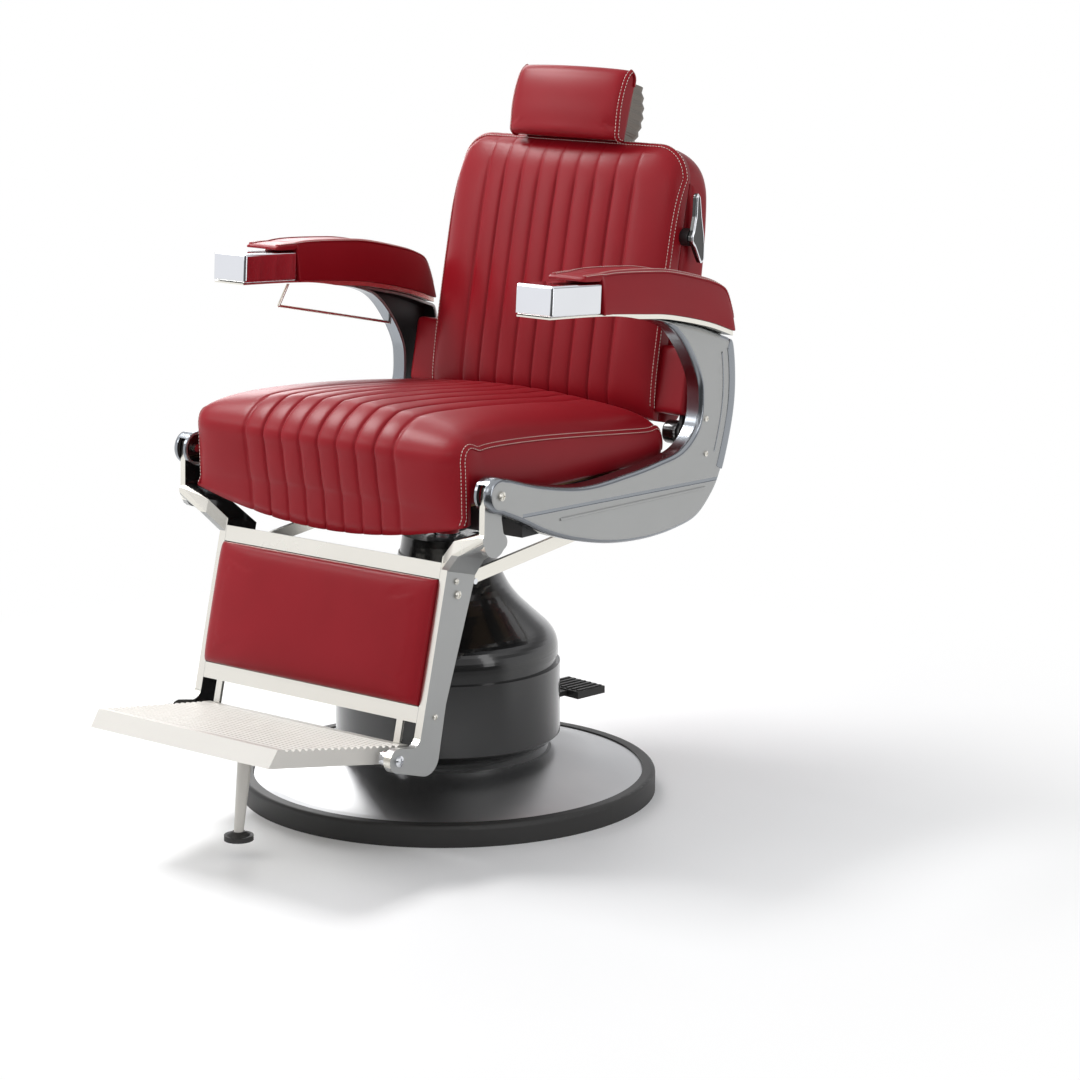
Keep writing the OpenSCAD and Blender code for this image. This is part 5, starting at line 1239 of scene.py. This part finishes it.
def head_grids(xs, rows):
    """The head pad's skin and the flat behind it.

    The front is puffed by crown (k - 0.75 exp(-d / edge)), with k = 1 - (x / half)^2 and d the
    distance to the pad's end.
    """
    s, x = along(HEAD_SHARES, rows)[None], xs[:, None]
    ends = np.exp(-(HEAD_HALF - np.abs(x)) / HEAD_EDGE)
    puff = (HEAD_CROWN * (1 - (x / HEAD_HALF) ** 2 - 0.75 * ends)
            * np.clip((0.6 - s[..., 0]) / 0.3, 0, 1))
    foot = np.linspace(0, 1, len(rows))[None]
    skin = grid_of(x, s[..., 0] * HEAD_THICK - puff, s[..., 1] * HEAD_HEIGHT + puff * 0.2 * (s[..., 1] > 0.9))
    base = grid_of(x, 0.995 * HEAD_THICK, (0.06 + foot * 0.72) * HEAD_HEIGHT)
    return leaned(skin, HEAD_PLACE, HEAD_LEAN), leaned(base, HEAD_PLACE, HEAD_LEAN)


across = np.sin(np.linspace(-np.pi / 2, np.pi / 2, 33)) * HEAD_HALF
skin, base = head_grids(across, evenly(HEAD_SHARES * (HEAD_THICK, HEAD_HEIGHT), 48))
head, skin = stuffed("head_cushion", skin, base, held_edges(skin), push=3.0, cap=0.004,
                     fine_i=np.linspace(0, 32, 120), fine_j=np.linspace(0, 47, 120))
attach(head, "headrest")
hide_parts("headrest_pad")
for name, place, out in (("head_left", -1, 1), ("head_right", 0, -1)):
    side_welt(name, "headrest", skin[place], 200, slice(2, -2), lean=out * 0.6, face=(0, -1, 0), share=0.8,
              width=0.007)
housing_grey = grained("housing_grey", (106, 100, 93), spread=22, rough=0.42, wander=0.08, metallic=0.75,
                       grain=900, depth=0.0003)
finish("headrest_stem", chrome)
finish("headrest_guide headrest_hinge", bright_nickel)
finish("headrest_shell", housing_grey)

# Legrest
# Two cast arms joined by nickelled cross bars, an upholstered calf pad between the bars, straps down
# to the footplate and flat rods back to the chair's back.

LEG_LEAN = math.radians(14.4)
LEG_FRONT = np.array([0, -math.cos(LEG_LEAN), math.sin(LEG_LEAN)])
CALF_HALF = 0.2175
CALF_HEIGHT = 0.187
CALF_FOOT = -0.3225
CALF_BACK = 0.0225
CALF_THICK = 0.0215
CALF_CROWN = 0.0085
CALF_DRAWN = 0.006
CALF_EDGE = 0.007
# The pad's section from foot to top: share of the thickness, share of the height.
CALF_SHARES = np.array([
    (0, 0.0), (0.55, 0.0), (0.8, 0.02), (0.93, 0.08), (0.985, 0.2), (1, 0.4), (1, 0.6), (0.985, 0.8),
    (0.93, 0.92), (0.8, 0.98), (0.55, 1), (0, 1)])


def paint(piece, made_of, chosen):
    """Gives another finish to the faces that chosen picks by their normals."""
    mesh = piece.data
    mesh.materials.append(made_of)
    normal, index = np.empty(len(mesh.polygons) * 3), np.empty(len(mesh.polygons), np.int32)
    mesh.polygons.foreach_get("normal", normal)
    mesh.polygons.foreach_get("material_index", index)
    index[chosen(normal.reshape(-1, 3))] = len(mesh.materials) - 1
    mesh.polygons.foreach_set("material_index", index)


def calf_grids(xs, rows):
    """The calf pad's skin, from its foot over its front to its top, and the flat behind it.

    Its thickness is s (T + crown k - drawn exp(-d / edge)), with k = 1 - (x / half)^4 and d the
    distance to the pad's end.
    """
    s, x = along(CALF_SHARES * (1, CALF_HEIGHT), rows)[None], xs[:, None]
    k = 1 - (x / CALF_HALF) ** 4
    ends = np.exp(-(CALF_HALF - np.abs(x)) / CALF_EDGE)
    front = CALF_BACK - s[..., 0] * (CALF_THICK + CALF_CROWN * k - CALF_DRAWN * ends)
    up = CALF_FOOT + s[..., 1]
    return (leaned(grid_of(x, front, up), LEG_PIVOT, LEG_LEAN),
            leaned(grid_of(x, CALF_BACK, up), LEG_PIVOT, LEG_LEAN))


for side, sign in (("left", 1), ("right", -1)):
    arm = eased("legrest_arm_" + side, "legrest", cast_aluminium, 0.0014)
    paint(arm, gloss_black, lambda normal: normal[:, 0] * sign < -0.25)
    paint(arm, bright_nickel, lambda normal: normal @ LEG_FRONT > 0.8)
finish("legrest_upper_bar legrest_lower_bar legrest_screws legrest_struts link_rods", bright_nickel)
finish("link_pins", chrome)
finish("calf_board", black_steel)

across = np.sin(np.linspace(-np.pi / 2, np.pi / 2, 49)) * CALF_HALF
skin, base = calf_grids(across, evenly(CALF_SHARES * (CALF_THICK + CALF_CROWN, CALF_HEIGHT), 56))
calf, skin = stuffed("calf_cushion", skin, base, held_edges(skin, rims=3), push=1.0, cap=0.0003,
                     fine_i=np.linspace(0, 48, 160), fine_j=np.linspace(0, 55, 110), rows=3)
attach(calf, "legrest")
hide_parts("calf_pad")

# Footrest
# A cast footplate with a ridged tread, satin and pale, on chromed hinge bolts, with its tapered
# prop leg of the same metal.

tread_metal = grained("tread_metal", (199, 196, 190), spread=12, rough=0.5, wander=0.06, metallic=0.2,
                      grain=700, depth=0.0003)
finish("footrest_platform prop_leg", tread_metal)
finish("footrest_bolts", chrome)
